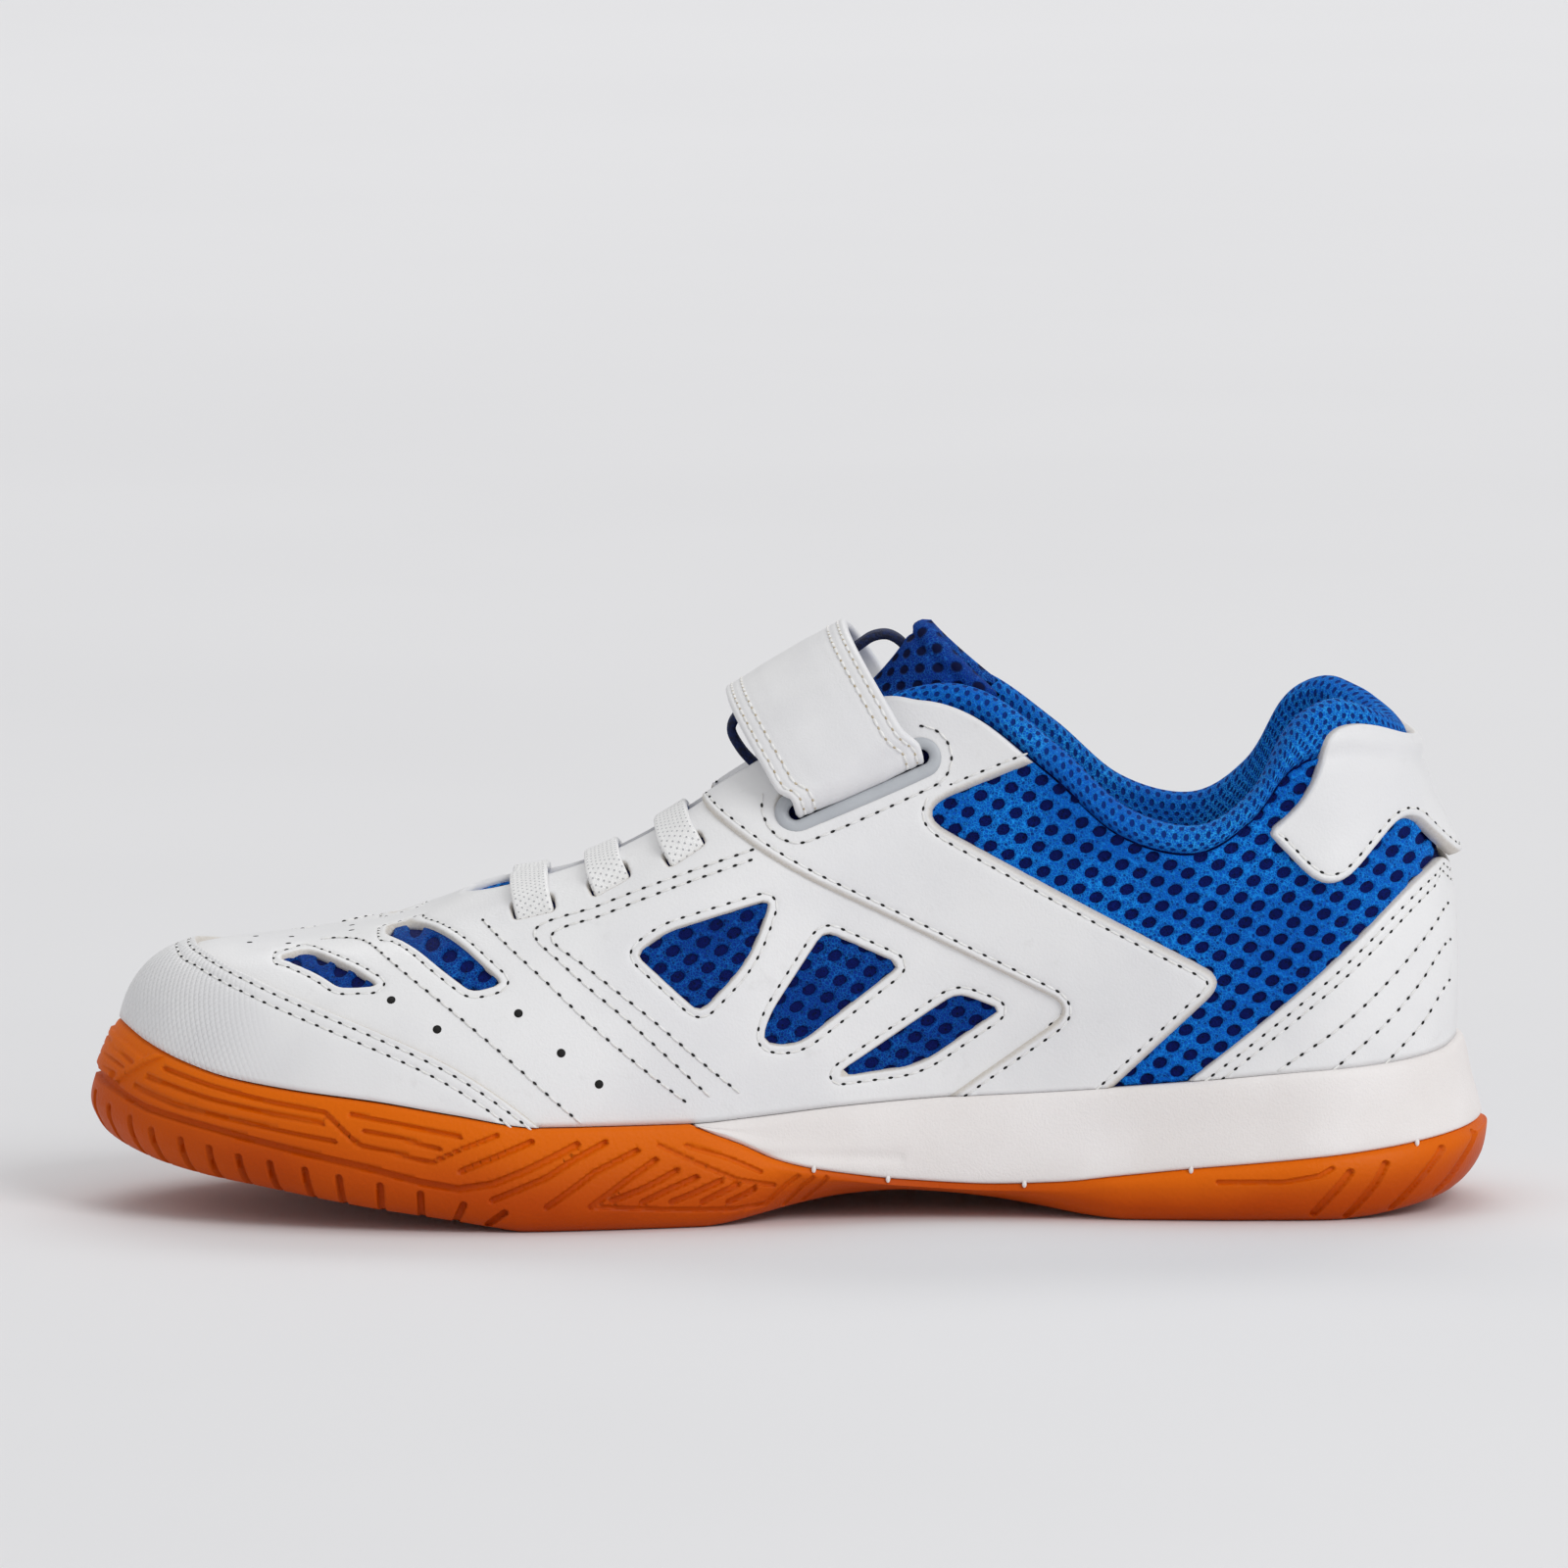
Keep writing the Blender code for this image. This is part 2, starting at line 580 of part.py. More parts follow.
def upper_mesh():
    turns = TURNS[:, None]
    outside = skin_point(turns, OUTSIDE_UPS)
    inside = skin_point(turns, INSIDE_UPS, -wall_thickness(turns, INSIDE_UPS))
    edge = skin_point(TURNS, 1.0)
    across = last_normal(TURNS, np.ones(len(TURNS))) * wall_thickness(TURNS, 1.0)[:, None] / 2
    upward = last_point(TURNS, np.ones(len(TURNS))) - last_point(TURNS, np.full(len(TURNS), 0.98))
    upward *= np.linalg.norm(across, axis=1, keepdims=True) / np.linalg.norm(upward, axis=1, keepdims=True)
    rim = [edge - across + math.cos(a) * across + RIM_ROUNDNESS * math.sin(a) * upward for a in RIM_ANGLES]
    grid = np.concatenate([outside, np.stack(rim, axis=1), inside], axis=1)
    return loft("upper", grid, close_columns=True)


add_object("outsole", outsole_mesh(), parts, gum_rubber)
add_object("midsole", midsole_mesh(), parts, white_foam)
add_object("insole", insole_mesh(), parts, footbed_foam)
add_object("upper", upper_mesh(), parts, blue_mesh)

# Relief of the outsole's side, the same on both sides, as runs of (rib, height) on its surface
LONG_GROOVES = [
    [(18.85, 21.8), (18.4, 20.4), (17.5, 17.2), (16.4, 14.8), (14.9, 11), (13.95, 7.4), (13.5, 8.6),
     (12.5, 15.2)],
    [(17.9, 25.6), (17.2, 23.4), (16.4, 21.6), (15.5, 20.3)],
    [(18.1, 23.6), (17.4, 21.5), (16.4, 19.4), (15.5, 18)],
    [(15.1, 15), (14.33, 12.3), (13.52, 16.4)],
]
SHORT_GROOVES = [
    [(13.48, 5.9), (12.14, 15)], [(12.81, 4.8), (11.76, 13.6)], [(12.2, 5.6), (11.56, 12)],
    [(11.6, 5.4), (11.2, 10.2)], [(11.5, 14.7), (10.5, 9.6)], [(2.5, 3), (1.9, 10)], [(1.64, 5), (0.95, 12)],
]
# Notches along the edge under the toe and ball, as (rib, top, bottom)
NOTCHES = [
    (18.6, 17.8, 12.8), (17.85, 15.4, 10.4), (17.2, 13.6, 8.8), (16.6, 12.2, 7.2), (16.05, 11, 6),
    (15.5, 9.6, 4.8), (15.05, 8.5, 3.8),
]
GROOVE_RADIUS = 0.75
NOTCH_RADIUS = 0.95


def sole_side(rib, height, side):
    """A point on the sole's side."""
    bite, out = bite_line(RIB_COUNT - rib if side > 0 else rib)
    point = bite + out * side_offset(bite[0], height)
    return (point[0], point[1], height)


def sole_run(run, side):
    """A run of spots on the sole's side, with long stretches split so that they follow it."""
    spots = [run[0]]
    for start, end in zip(run, run[1:]):
        pieces = math.ceil(max(abs(end[0] - start[0]) / 0.8, abs(end[1] - start[1]) / 5))
        spots += [tuple(np.array(start) + (np.array(end) - start) * k / pieces) for k in range(1, pieces + 1)]
    return [sole_side(*spot, side) for spot in spots]


def tube(points, radius, roundness=0, closed=False):
    """A round bar along points; an open one gets end caps."""
    curve = bpy.data.curves.new("tube", "CURVE")
    curve.dimensions = "3D"
    curve.bevel_depth = radius * MM
    curve.bevel_resolution = roundness
    curve.use_fill_caps = True
    spline = curve.splines.new("POLY")
    spline.points.add(len(points) - 1)
    for spot, point in zip(spline.points, points):
        spot.co = (*(Vector(point) * MM), 1)
    spline.use_cyclic_u = closed
    return from_curve(curve)


outsole = bpy.data.objects["outsole"]
runs = [(run, GROOVE_RADIUS) for run in LONG_GROOVES + SHORT_GROOVES]
runs += [([(rib, top), (rib, bottom)], NOTCH_RADIUS) for rib, top, bottom in NOTCHES]
grooves = [tube(sole_run(run, side), radius) for run, radius in runs for side in (1, -1)]
cut(outsole, welded(grooves), "DIFFERENCE")

# White panels: blanks that follow the upper, cut to their side-view outlines

# Edges of the panels, as (station, height, size of the rounded corner)
CAP_EDGE = [(219, 54, 0), (217.2, 43.6, 4), (204, 38.8, 12), (185, 32.7, 12), (168, 24.7, 10), (156, 14, 0)]
SADDLE_FRONT = [(118, 82, 0), (134.5, 69, 5), (120, 59.1, 10), (70.6, 35.6, 4.5), (96, 17.8, 0)]
SADDLE_REAR = [(64, 82, 0), (98.4, 68.3, 5), (44.4, 40.5, 5), (68.5, 17.8, 0)]
COUNTER_EDGE = [(58, 18.2, 0), (31, 39.8, 12), (14, 56.3, 6), (9.4, 59, 1), (4, 50.5, 0)]
TAB_OUTLINE = [
    (38.4, 65.2, 1.5), (27.5, 53.8, 7), (15.4, 68.2, 5), (5.6, 53.6, 0), (0, 53.6, 0), (0, 80.2, 0),
    (12, 80.2, 0), (21.5, 84.2, 5), (28.6, 83, 3), (31.5, 71, 6),
]
WINDOWS = [
    [(204.4, 43.0, 1), (199, 44.4, 2), (195.5, 44, 2), (186.8, 40.2, 0.8), (193.4, 39.3, 2)],
    [(186.6, 46.7, 1), (177, 49.3, 4), (172.4, 47.8, 3), (165.8, 40.2, 1.2), (171.4, 39.3, 2),
     (180.6, 45.7, 4)],
    [(143.6, 45.2, 1.2), (139, 48.6, 3), (121.4, 53.9, 1.8), (125, 44.2, 5), (133.2, 35.8, 1.8)],
    [(112.4, 48.6, 1.8), (99.6, 42.8, 1.6), (117, 29.8, 3), (122.8, 30.4, 2), (121.6, 34.8, 3)],
    [(110.6, 24.4, 1), (90, 38, 2.2), (82.8, 35.3, 1.2), (96.5, 26, 4)],
]
WINDOW_NEAR = 7.0        # the windows stop this far from the shoe's middle
WINDOW_FAR = 60.0

# Elastic laces: station and height of the slots they come out of, their lean towards the toe in
# degrees, and how far they climb from the slot to the throat
Lace = namedtuple("Lace", "station height lean climb")
LACES = [Lace(160.7, 51.2, 14, 2.2), Lace(147.9, 55.9, 28, 2.0), Lace(135.4, 61.3, 33, 2.8)]
LACE_SLOT = (7.2, 1.8)

# The strap's slot on the inner side
SLOT_STATION = 105.6
SLOT_HEIGHT = 71.2
STRAP_LEAN = math.radians(25)
RING_HALF_LENGTH = 10.7
RING_BEND = 3.1
RING_WIRE = 1.1


def panel_mesh(name, first, last, low, high, thickness, rows=OUTSIDE_UPS):
    """A blank over the ribs from first to last; it starts at the bite line when low is None."""
    turns = np.concatenate([TURNS - RIB_COUNT, TURNS])
    turns = turns[(turns >= first) & (turns <= last)]
    bottom = bite_up(turns, PANEL_GAP) if low is None else np.full(len(turns), low)
    between = rows[(rows > bottom.max() + 0.035) & (rows < high - 0.01)]
    ups = np.array([[start, *between, high] for start in bottom])
    under = skin_point(turns[:, None], ups, PANEL_GAP)
    over = skin_point(turns[:, None], ups, PANEL_GAP + thickness)
    return loft(name, np.concatenate([under, over[:, ::-1]], axis=1))


def both_sides(rows):
    """A hole's outline, cut through the inner and the outer side."""
    return [side_prism(rows, WINDOW_NEAR, WINDOW_FAR), side_prism(rows, -WINDOW_FAR, -WINDOW_NEAR)]


def skin_frame(turn, up, run):
    """A frame on the skin: x along `run`, z outwards."""
    origin = skin_point(turn, up)
    outward = last_normal(turn, up)
    along = run - outward * np.dot(run, outward)
    along /= np.linalg.norm(along)
    across = np.cross(outward, along)
    frame = Matrix.Identity(4)
    for column, axis in enumerate((along, across, outward)):
        frame.col[column][:3] = axis
    frame.translation = Vector(origin) * MM
    return frame


def stadium(half_length, radius):
    bend = np.linspace(-math.pi / 2, math.pi / 2, 7)
    right = [(half_length + radius * math.cos(a), radius * math.sin(a)) for a in bend]
    return right + [(-x, -y) for x, y in right]


def lean_axes(lean):
    """Directions in side view of a band that leans towards the toe: along its width, and up its length."""
    along = np.array([-math.cos(lean), 0, math.sin(lean)])
    upward = np.array([math.sin(lean), 0, math.cos(lean)])
    return along, upward


def lace_height(lace, side):
    return lace.height if side > 0 else lace.height - instep_drop(lace.station)


def lace_slots():
    slots = []
    length, height = LACE_SLOT
    for lace in LACES:
        along, _ = lean_axes(math.radians(lace.lean))
        for side in (1, -1):
            x, y = length / 2, height / 2
            slot = prism([(x, y), (-x, y), (-x, -y), (x, -y)], -4, 4)
            slot.transform(skin_frame(*find_on_skin(lace.station, lace_height(lace, side), side), along))
            slots.append(slot)
    return slots


SLOT_TURN, SLOT_UP = find_on_skin(SLOT_STATION, SLOT_HEIGHT, 1)
STRAP_ACROSS, STRAP_UPWARD = lean_axes(STRAP_LEAN)
SLOT_FRAME = skin_frame(SLOT_TURN, SLOT_UP, STRAP_ACROSS)

fewer_rows = np.delete(OUTSIDE_UPS, [7, 9])
front_blank = panel_mesh("front_panel", 6.5, RIB_COUNT - 6.5, None, 1, OVERLAY_THICKNESS, fewer_rows)
front_panel = add_object("front_panel", front_blank, parts, white_leather)
front_outline = beside(CAP_EDGE, -0.4) + [(158, 4, 0), (90, 4, 0)]
front_outline += beside(SADDLE_FRONT, 0.4)[::-1] + [(118, 100, 0), (219, 100, 0)]
openings = [mesh for window in WINDOWS for mesh in both_sides(window)] + lace_slots()
cut(front_panel, welded(openings), "DIFFERENCE")
cut(front_panel, side_prism(front_outline, -WINDOW_FAR, WINDOW_FAR), "INTERSECT")

cap_blank = panel_mesh("toe_cap", 12.5, RIB_COUNT - 12.5, None, 0.6, CAP_THICKNESS)
toe_cap = add_object("toe_cap", cap_blank, parts, white_leather)
cap_outline = CAP_EDGE + [(156, 4, 0), (250, 4, 0), (250, 54, 0)]
cut(toe_cap, side_prism(cap_outline, -WINDOW_FAR, WINDOW_FAR), "INTERSECT")

saddle_outline = SADDLE_FRONT + [(96, 4, 0), (68.5, 4, 0)] + SADDLE_REAR[::-1] + [(64, 100, 0), (118, 100, 0)]
inner_blank = panel_mesh("saddle_inner", RIB_COUNT - 12.5, RIB_COUNT - 4, None, 1, SADDLE_THICKNESS)
saddle_inner = add_object("saddle_inner", inner_blank, parts, white_leather)
strap_slot = prism(stadium(RING_HALF_LENGTH, RING_BEND + RING_WIRE + FIT_GAP), -4, 6)
strap_slot.transform(SLOT_FRAME)
cut(saddle_inner, welded([strap_slot]), "DIFFERENCE")
cut(saddle_inner, side_prism(saddle_outline, 0, WINDOW_FAR), "INTERSECT")
outer_blank = panel_mesh("saddle_outer", 4, 12.5, None, 1, SADDLE_THICKNESS)
saddle_outer = add_object("saddle_outer", outer_blank, parts, white_leather)
cut(saddle_outer, side_prism(saddle_outline, -WINDOW_FAR, 0), "INTERSECT")

counter_blank = panel_mesh("heel_counter", -6.5, 6.5, None, 0.72, OVERLAY_THICKNESS)
heel_counter = add_object("heel_counter", counter_blank, parts, white_leather)
counter_outline = COUNTER_EDGE + [(-9, 50.5, 0), (-9, 4, 0), (58, 4, 0)]
cut(heel_counter, side_prism(counter_outline, -WINDOW_FAR, WINDOW_FAR), "INTERSECT")

tab_blank = panel_mesh("heel_tab", -4.5, 4.5, 0.5, 0.985, TAB_THICKNESS)
heel_tab = add_object("heel_tab", tab_blank, parts, white_leather)
cut(heel_tab, side_prism(TAB_OUTLINE, -WINDOW_FAR, WINDOW_FAR), "INTERSECT")


# Trim: the slot's ring, the strap, the elastic laces, the tongue and its keeper loop

def ring_mesh():
    path = [(x, y, RING_WIRE + 2 * PANEL_GAP) for x, y in stadium(RING_HALF_LENGTH, RING_BEND)]
    ring = tube(path, RING_WIRE, roundness=1, closed=True)
    ring.transform(SLOT_FRAME)
    return ring


# The strap out of its slot, as (height over the slot's middle, distance out of the skin), and then over
# the instep, as (distance across the shoe, height over the slot along its lean)
STRAP_START = [(0, 2.7), (0.3, 3.8), (1.5, 5.1)]
STRAP_ARCH = [
    (25.4, 5.4), (24, 9.6), (20.2, 14.7), (13.6, 19), (5, 21), (-4.5, 20.9), (-14, 18.2), (-21.6, 12.4),
    (-25.4, 6.4),
]
STRAP_CROWN = 21.0     # over it the strap leans further and sits further to the toe
STRAP_TWIST = math.radians(5.5)
STRAP_SHIFT = 3.0
STRAP_FALL = [0.5, -5, -10.5, -16]   # on the outer side it lies on the saddle
STRAP_SPREAD = [-0.5, 0, 0.5]
STRAP_CLEAR = PANEL_GAP + SADDLE_THICKNESS + 3 * FIT_GAP + STRAP_THICKNESS / 2


def strap_mesh():
    slot = np.array(SLOT_FRAME.translation) / MM
    along, upward, outward = (np.array(SLOT_FRAME.col[axis][:3]) for axis in range(3))
    origin = np.array([SLOT_STATION, 0, SLOT_HEIGHT])
    rows = []
    for rise, depth in STRAP_START:
        middle = slot + upward * rise + outward * depth
        rows.append([middle + along * STRAP_WIDTH * w for w in STRAP_SPREAD])
    for across, rise in STRAP_ARCH:
        share = rise / STRAP_CROWN
        row_along, _ = lean_axes(STRAP_LEAN + STRAP_TWIST * share)
        middle = origin + (STRAP_SHIFT * share, across, 0) + STRAP_UPWARD * rise
        rows.append([middle + row_along * STRAP_WIDTH * w for w in STRAP_SPREAD])
    for fall in STRAP_FALL:
        spots = [origin + STRAP_UPWARD * fall + STRAP_ACROSS * STRAP_WIDTH * w for w in STRAP_SPREAD]
        rows.append([skin_point(*find_on_skin(s, z, -1), STRAP_CLEAR) for s, _, z in spots])
    return slab("strap", np.array(rows), STRAP_THICKNESS)


LACE_CLEAR = PANEL_GAP + OVERLAY_THICKNESS + 3 * FIT_GAP + ELASTIC_THICKNESS / 2
LACE_CROWN = -0.5
LACE_SPREAD = [-0.5, 0, 0.5]


def throat_edge(station, side):
    """A point of the lace front's edge, lifted as far as the laces lie over it."""
    turns = np.linspace(8, TOE_RIB, 200)
    turns = RIB_COUNT - turns if side > 0 else turns
    turn = np.interp(station, last_point(turns, np.ones(200))[:, 0], turns)
    return skin_point(turn, 1.0, LACE_CLEAR)


def lace_mesh(name, lace):
    along, upward = lean_axes(math.radians(lace.lean))
    halves = []
    for side in (-1, 1):
        slot = np.array([lace.station, 0, lace_height(lace, side)])
        half = []
        for climb in (0, 0.5):
            row = [slot + upward * lace.climb * climb + along * ELASTIC_WIDTH * w for w in LACE_SPREAD]
            half.append([skin_point(*find_on_skin(s, z, side), LACE_CLEAR) for s, _, z in row])
        edge = [throat_edge(lace.station + upward[0] * lace.climb + along[0] * ELASTIC_WIDTH * w, side)
                for w in LACE_SPREAD]
        half.append(edge)
        half.append(np.array(edge) * (1, 0.7, 1))
        halves.append(np.array(half))
    crown = (halves[0][-1] + halves[1][-1]) / 2 + upward * LACE_CROWN
    return slab(name, np.concatenate([halves[0], crown[None], halves[1][::-1]]), ELASTIC_THICKNESS)


# The tongue from under the vamp to its top, one row a section:
#   middle and height of its centre line, half width, drop of its edges, and how far they trail back
TongueRow = namedtuple("TongueRow", "middle height half drop trail")
TONGUE = [
    TongueRow(179, 42.2, 8.5, 2, 0), TongueRow(168, 45.8, 11, 3.5, 0), TongueRow(156, 49.6, 13, 5, 0),
    TongueRow(143, 55.8, 14.5, 6.5, 0), TongueRow(130, 63.6, 15, 7.5, 0), TongueRow(118, 72.6, 14.5, 8, 0),
    TongueRow(108, 81.2, 12.8, 8, 3.5), TongueRow(100.5, 88.6, 11.6, 8.5, 7),
    TongueRow(96.4, 94, 11.2, 10, 10), TongueRow(94.2, 98.2, 10.4, 11.5, 11.5),
]
TONGUE_SPREAD = np.array([-1, -0.8, -0.5, 0, 0.5, 0.8, 1])


def tongue_mesh():
    sheet = [[(row.middle - row.trail * a * a, row.half * a, row.height - row.drop * abs(a) ** 1.7)
              for a in TONGUE_SPREAD] for row in TONGUE]
    return slab("tongue", np.array(sheet), TONGUE_THICKNESS)


# The keeper loop, as (station, height): up from the tongue, under the strap and back to the tongue
LOOP_PATH = [
    (123.4, 72.8), (126.4, 76.2), (127.9, 79.4), (126.9, 81.6), (124.8, 82.8), (107.1, 93.1), (104, 94.8),
    (101.9, 94.5), (101, 92.6),
]
LOOP_ACROSS = -3.0


def loop_mesh():
    sheet = [[(s, LOOP_ACROSS + w * LOOP_WIDTH, z) for w in (-0.5, 0.5)] for s, z in LOOP_PATH]
    return slab("tongue_loop", np.array(sheet), LOOP_THICKNESS)


add_object("strap_ring", ring_mesh(), parts, grey_plastic)
add_object("strap", strap_mesh(), parts, white_webbing)
for number, lace in enumerate(LACES, 1):
    name = f"elastic_lace_{number}"
    add_object(name, lace_mesh(name, lace), parts, white_elastic)
add_object("tongue", tongue_mesh(), parts, blue_padding)
add_object("tongue_loop", loop_mesh(), parts, navy_webbing)
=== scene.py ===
import math

import bpy
import numpy as np
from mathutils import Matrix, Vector


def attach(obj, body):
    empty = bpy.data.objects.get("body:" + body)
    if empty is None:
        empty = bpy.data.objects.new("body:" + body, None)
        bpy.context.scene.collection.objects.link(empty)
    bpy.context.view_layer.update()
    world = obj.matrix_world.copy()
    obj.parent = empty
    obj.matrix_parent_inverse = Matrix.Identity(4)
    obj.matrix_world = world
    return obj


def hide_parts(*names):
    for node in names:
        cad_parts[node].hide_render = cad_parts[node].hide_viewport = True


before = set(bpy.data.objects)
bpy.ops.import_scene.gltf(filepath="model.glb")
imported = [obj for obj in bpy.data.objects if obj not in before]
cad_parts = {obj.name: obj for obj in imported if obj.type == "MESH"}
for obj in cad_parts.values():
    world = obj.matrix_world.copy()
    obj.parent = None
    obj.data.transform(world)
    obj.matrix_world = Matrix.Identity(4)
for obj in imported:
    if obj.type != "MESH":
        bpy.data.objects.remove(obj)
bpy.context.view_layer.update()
print("frame loaded,", len(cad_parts), "nodes")

# the last, in millimetres: stations from the heel along the shoe, +y the inner side, z up
mm = 0.001
last = {
    "length": 236.0, "axisShift": 0.6, "fitGap": 0.3, "meshWall": 2.2, "collarFoam": 3.2, "collarRoll": 1.2,
    "soleRim": 2.4, "foamLip": 1.8, "ribStep": 13.0, "upStep": 78.0,  # usual length of a rib's step and of a side
}
ribNames = "foot footIn footOut top topHalf topZ rise flare reach drop foam".split()
ribTable = [
    (7.5, 0, 0, 15.5, 0, 79.6, 34, 1.5, 9, 24, 1),
    (9.6, 11.5, 11.5, 17.5, 8.5, 81.2, 34, 1.5, 8.5, 24, 1),
    (16, 19.5, 19.5, 21.5, 14.5, 83.4, 32, 2, 6.5, 24, 1),
    (27, 24.5, 25, 27, 19, 84.4, 30, 2.5, 4.5, 24, 1),
    (40, 26, 27, 33.5, 22.5, 80.4, 26, 2.5, 3, 22, 1),
    (51, 26, 27.8, 40.5, 24.5, 69.4, 22, 2.5, 2, 18, 1),
    (63, 25.2, 28.6, 50, 25.5, 63.6, 20, 2.5, 2, 16, 1),
    (78, 24, 30, 62.5, 25, 66.7, 20, 2.5, 3, 17, 1),
    (94, 24.2, 32, 74, 22.3, 76.6, 22, 3, 5, 20, 1),
    (109, 26.5, 34.5, 87, 17.5, 86.2, 24, 3.5, 8.5, 21, 0.9),
    (123, 30, 36.6, 99, 15.5, 87.4, 26, 3.5, 13, 19, 0.3),
    (133.2, 33.4, 37.9, 113, 14.3, 79.8, 26.5, 3.5, 15.5, 15, 0),
    (148, 37, 38.5, 126, 13.3, 71.9, 27, 3.5, 17.5, 12, 0),
    (160, 39, 38.2, 138.5, 12.3, 63.8, 26.5, 3.5, 19, 9, 0),
    (173, 39.6, 36.6, 150, 11.3, 58, 26, 3.5, 20.5, 7.5, 0),
    (187, 38.4, 33.2, 159.5, 10, 54.7, 27.5, 3.5, 22, 8, 0),
    (200.5, 34.8, 27.8, 166, 8, 52.8, 30, 3.3, 24, 10.5, 0),
    (213, 28.4, 20.4, 170, 5.5, 51.8, 33, 3, 26.5, 13, 0),
    (223.2, 18.4, 10.4, 171.7, 2.8, 51.3, 36.5, 2.7, 29, 15.5, 0),
    (229.3, 4, -4, 172.2, 0, 51.2, 38.5, 2.5, 31, 17, 0),
]
ribs = [dict(zip(ribNames, row)) for row in ribTable]
toeRib = len(ribs) - 1
ribCount = 2 * toeRib

# heights along the shoe, as (station, height)
treadLine = [
    (0, 6.5), (4, 4.6), (8, 3.0), (14, 1.6), (22, 0.35), (28, 0), (60, 0), (68, 0.6), (76, 1.7),
    (84, 2.8), (92, 3.7), (100, 4.2), (109, 3.7), (117, 2.7), (124, 1.4), (129, 0.4), (133, 0),
    (161.5, 0), (168, 0.9), (174, 1.9), (190, 4.2), (207, 6.9), (216, 8.1), (224, 9.5), (236, 12.5),
]
biteLineRows = [
    (0, 29.8), (4, 29.4), (10, 27.2), (20, 25.9), (33, 25.0), (50, 23.5), (75, 21.5), (92, 20.6),
    (109, 19.4), (126, 17.9), (135, 17.4), (159, 17.4), (174, 19.6), (187, 21.7), (201, 23.2),
    (211, 24.6), (218, 26.4), (224, 28.6), (230, 31.3), (236, 32.0),
]
gumLine = [
    (0, 16.7), (5, 14.8), (12, 13.4), (20, 12.1), (33, 10.6), (50, 9.1), (63, 7.7), (73, 6.6),
    (84, 6.2), (100, 7.1), (109, 8.3), (117, 9.8), (122, 11.3), (127, 13.7), (132, 15.9), (135, 17.4),
]
floorLine = [
    (0, 17.8), (30, 16.5), (60, 14.4), (90, 11.5), (110, 9.5), (125, 8.3), (140, 7.8), (158, 7.8),
    (175, 9.3), (190, 11.5), (207, 14.2), (222, 17.0), (232, 18.8),
]
flareLine = [(0, 4.8), (15, 3.6), (40, 2.6), (120, 2.4), (190, 2.8), (215, 3.8), (236, 4.8)]
tuckLine = [(0, 0), (62, 0), (86, 4.0), (106, 4.0), (128, 0), (236, 0)]
instepLine = [(0, 0), (95, 0), (106, 1.6), (118, 2.4), (148, 2.4), (160, 1.5), (168, 0), (236, 0)]  # outer side
gumTip = 135.0


def curveThrough(points):
    at, height = np.array(points, float).T
    step = np.diff(at)
    slope = np.diff(height) / step
    sameWay = slope[:-1] * slope[1:] > 0
    total = np.where(sameWay, slope[:-1] + slope[1:], 1.0)
    inner = np.where(sameWay, 2 * slope[:-1] * slope[1:] / total, 0.0)
    tangent = np.concatenate([slope[:1], inner, slope[-1:]])

    def value(station):
        station = np.clip(station, at[0], at[-1])
        i = np.clip(np.searchsorted(at, station, side="right") - 1, 0, len(step) - 1)
        t = (station - at[i]) / step[i]
        start = (1 + 2 * t) * (1 - t) ** 2 * height[i] + t * (1 - t) ** 2 * step[i] * tangent[i]
        end = t * t * (3 - 2 * t) * height[i + 1] + t * t * (t - 1) * step[i] * tangent[i + 1]
        return start + end

    return value


treadHeight, biteHeight, gumHeight = (curveThrough(line) for line in (treadLine, biteLineRows, gumLine))
floorHeight, sideFlare, waistTuck = (curveThrough(line) for line in (floorLine, flareLine, tuckLine))
instepDrop = curveThrough(instepLine)


def smoothStep(low, high, value):
    t = np.clip((value - low) / (high - low), 0, 1)
    return t * t * (3 - 2 * t)


def bell(distance, width):
    return np.exp(-(distance / width) ** 2)


def unit(vectors):
    return vectors / np.linalg.norm(vectors, axis=-1, keepdims=True)


def running(steps):  # lengths added up from the start
    return np.concatenate([[0], np.cumsum(steps)])


def chain(count):  # pairs of neighbours along a line
    return [(i, i + 1) for i in range(count - 1)]


def onSide(turn, side):  # a place counted from the heel, on one side of the shoe
    return ribCount - turn if side > 0 else turn


def toFrame(points):
    return (np.asarray(points, float) - (last["length"] / 2, last["axisShift"], 0)) * mm


def ribControls(rib, side):
    across = rib["footIn"] if side > 0 else -rib["footOut"]
    foot = np.array([rib["foot"], across, floorHeight(rib["foot"]) + last["fitGap"]])
    lower = instepDrop(rib["top"]) if side < 0 else 0.0
    top = np.array([rib["top"], side * rib["topHalf"], rib["topZ"] - lower])
    away = (foot - top) * (1, 1, 0)
    away /= np.linalg.norm(away)
    upward = np.array([0, 0, 1])
    return np.array([foot, foot + rib["rise"] * upward + rib["flare"] * away,
                     top + rib["reach"] * away - rib["drop"] * upward, top])


innerRibs = ribs[-2:0:-1]
ribLoop = np.array([ribControls(rib, -1) for rib in ribs] + [ribControls(rib, 1) for rib in innerRibs])
foamLoop = np.array([rib["foam"] for rib in ribs + innerRibs], float)


def roundLoop(values, turn):  # a closed row read at `turn`, in ribs from the heel
    turn = np.asarray(turn, float)
    i = np.floor(turn).astype(int)
    t = (turn - i).reshape(turn.shape + (1,) * (values.ndim - 1))
    a, b, c, d = (values[(i + k) % len(values)] for k in (-1, 0, 1, 2))
    return 0.5 * (2 * b + (c - a) * t + (2 * a - 5 * b + 4 * c - d) * t**2 + (3 * b - a - 3 * c + d) * t**3)


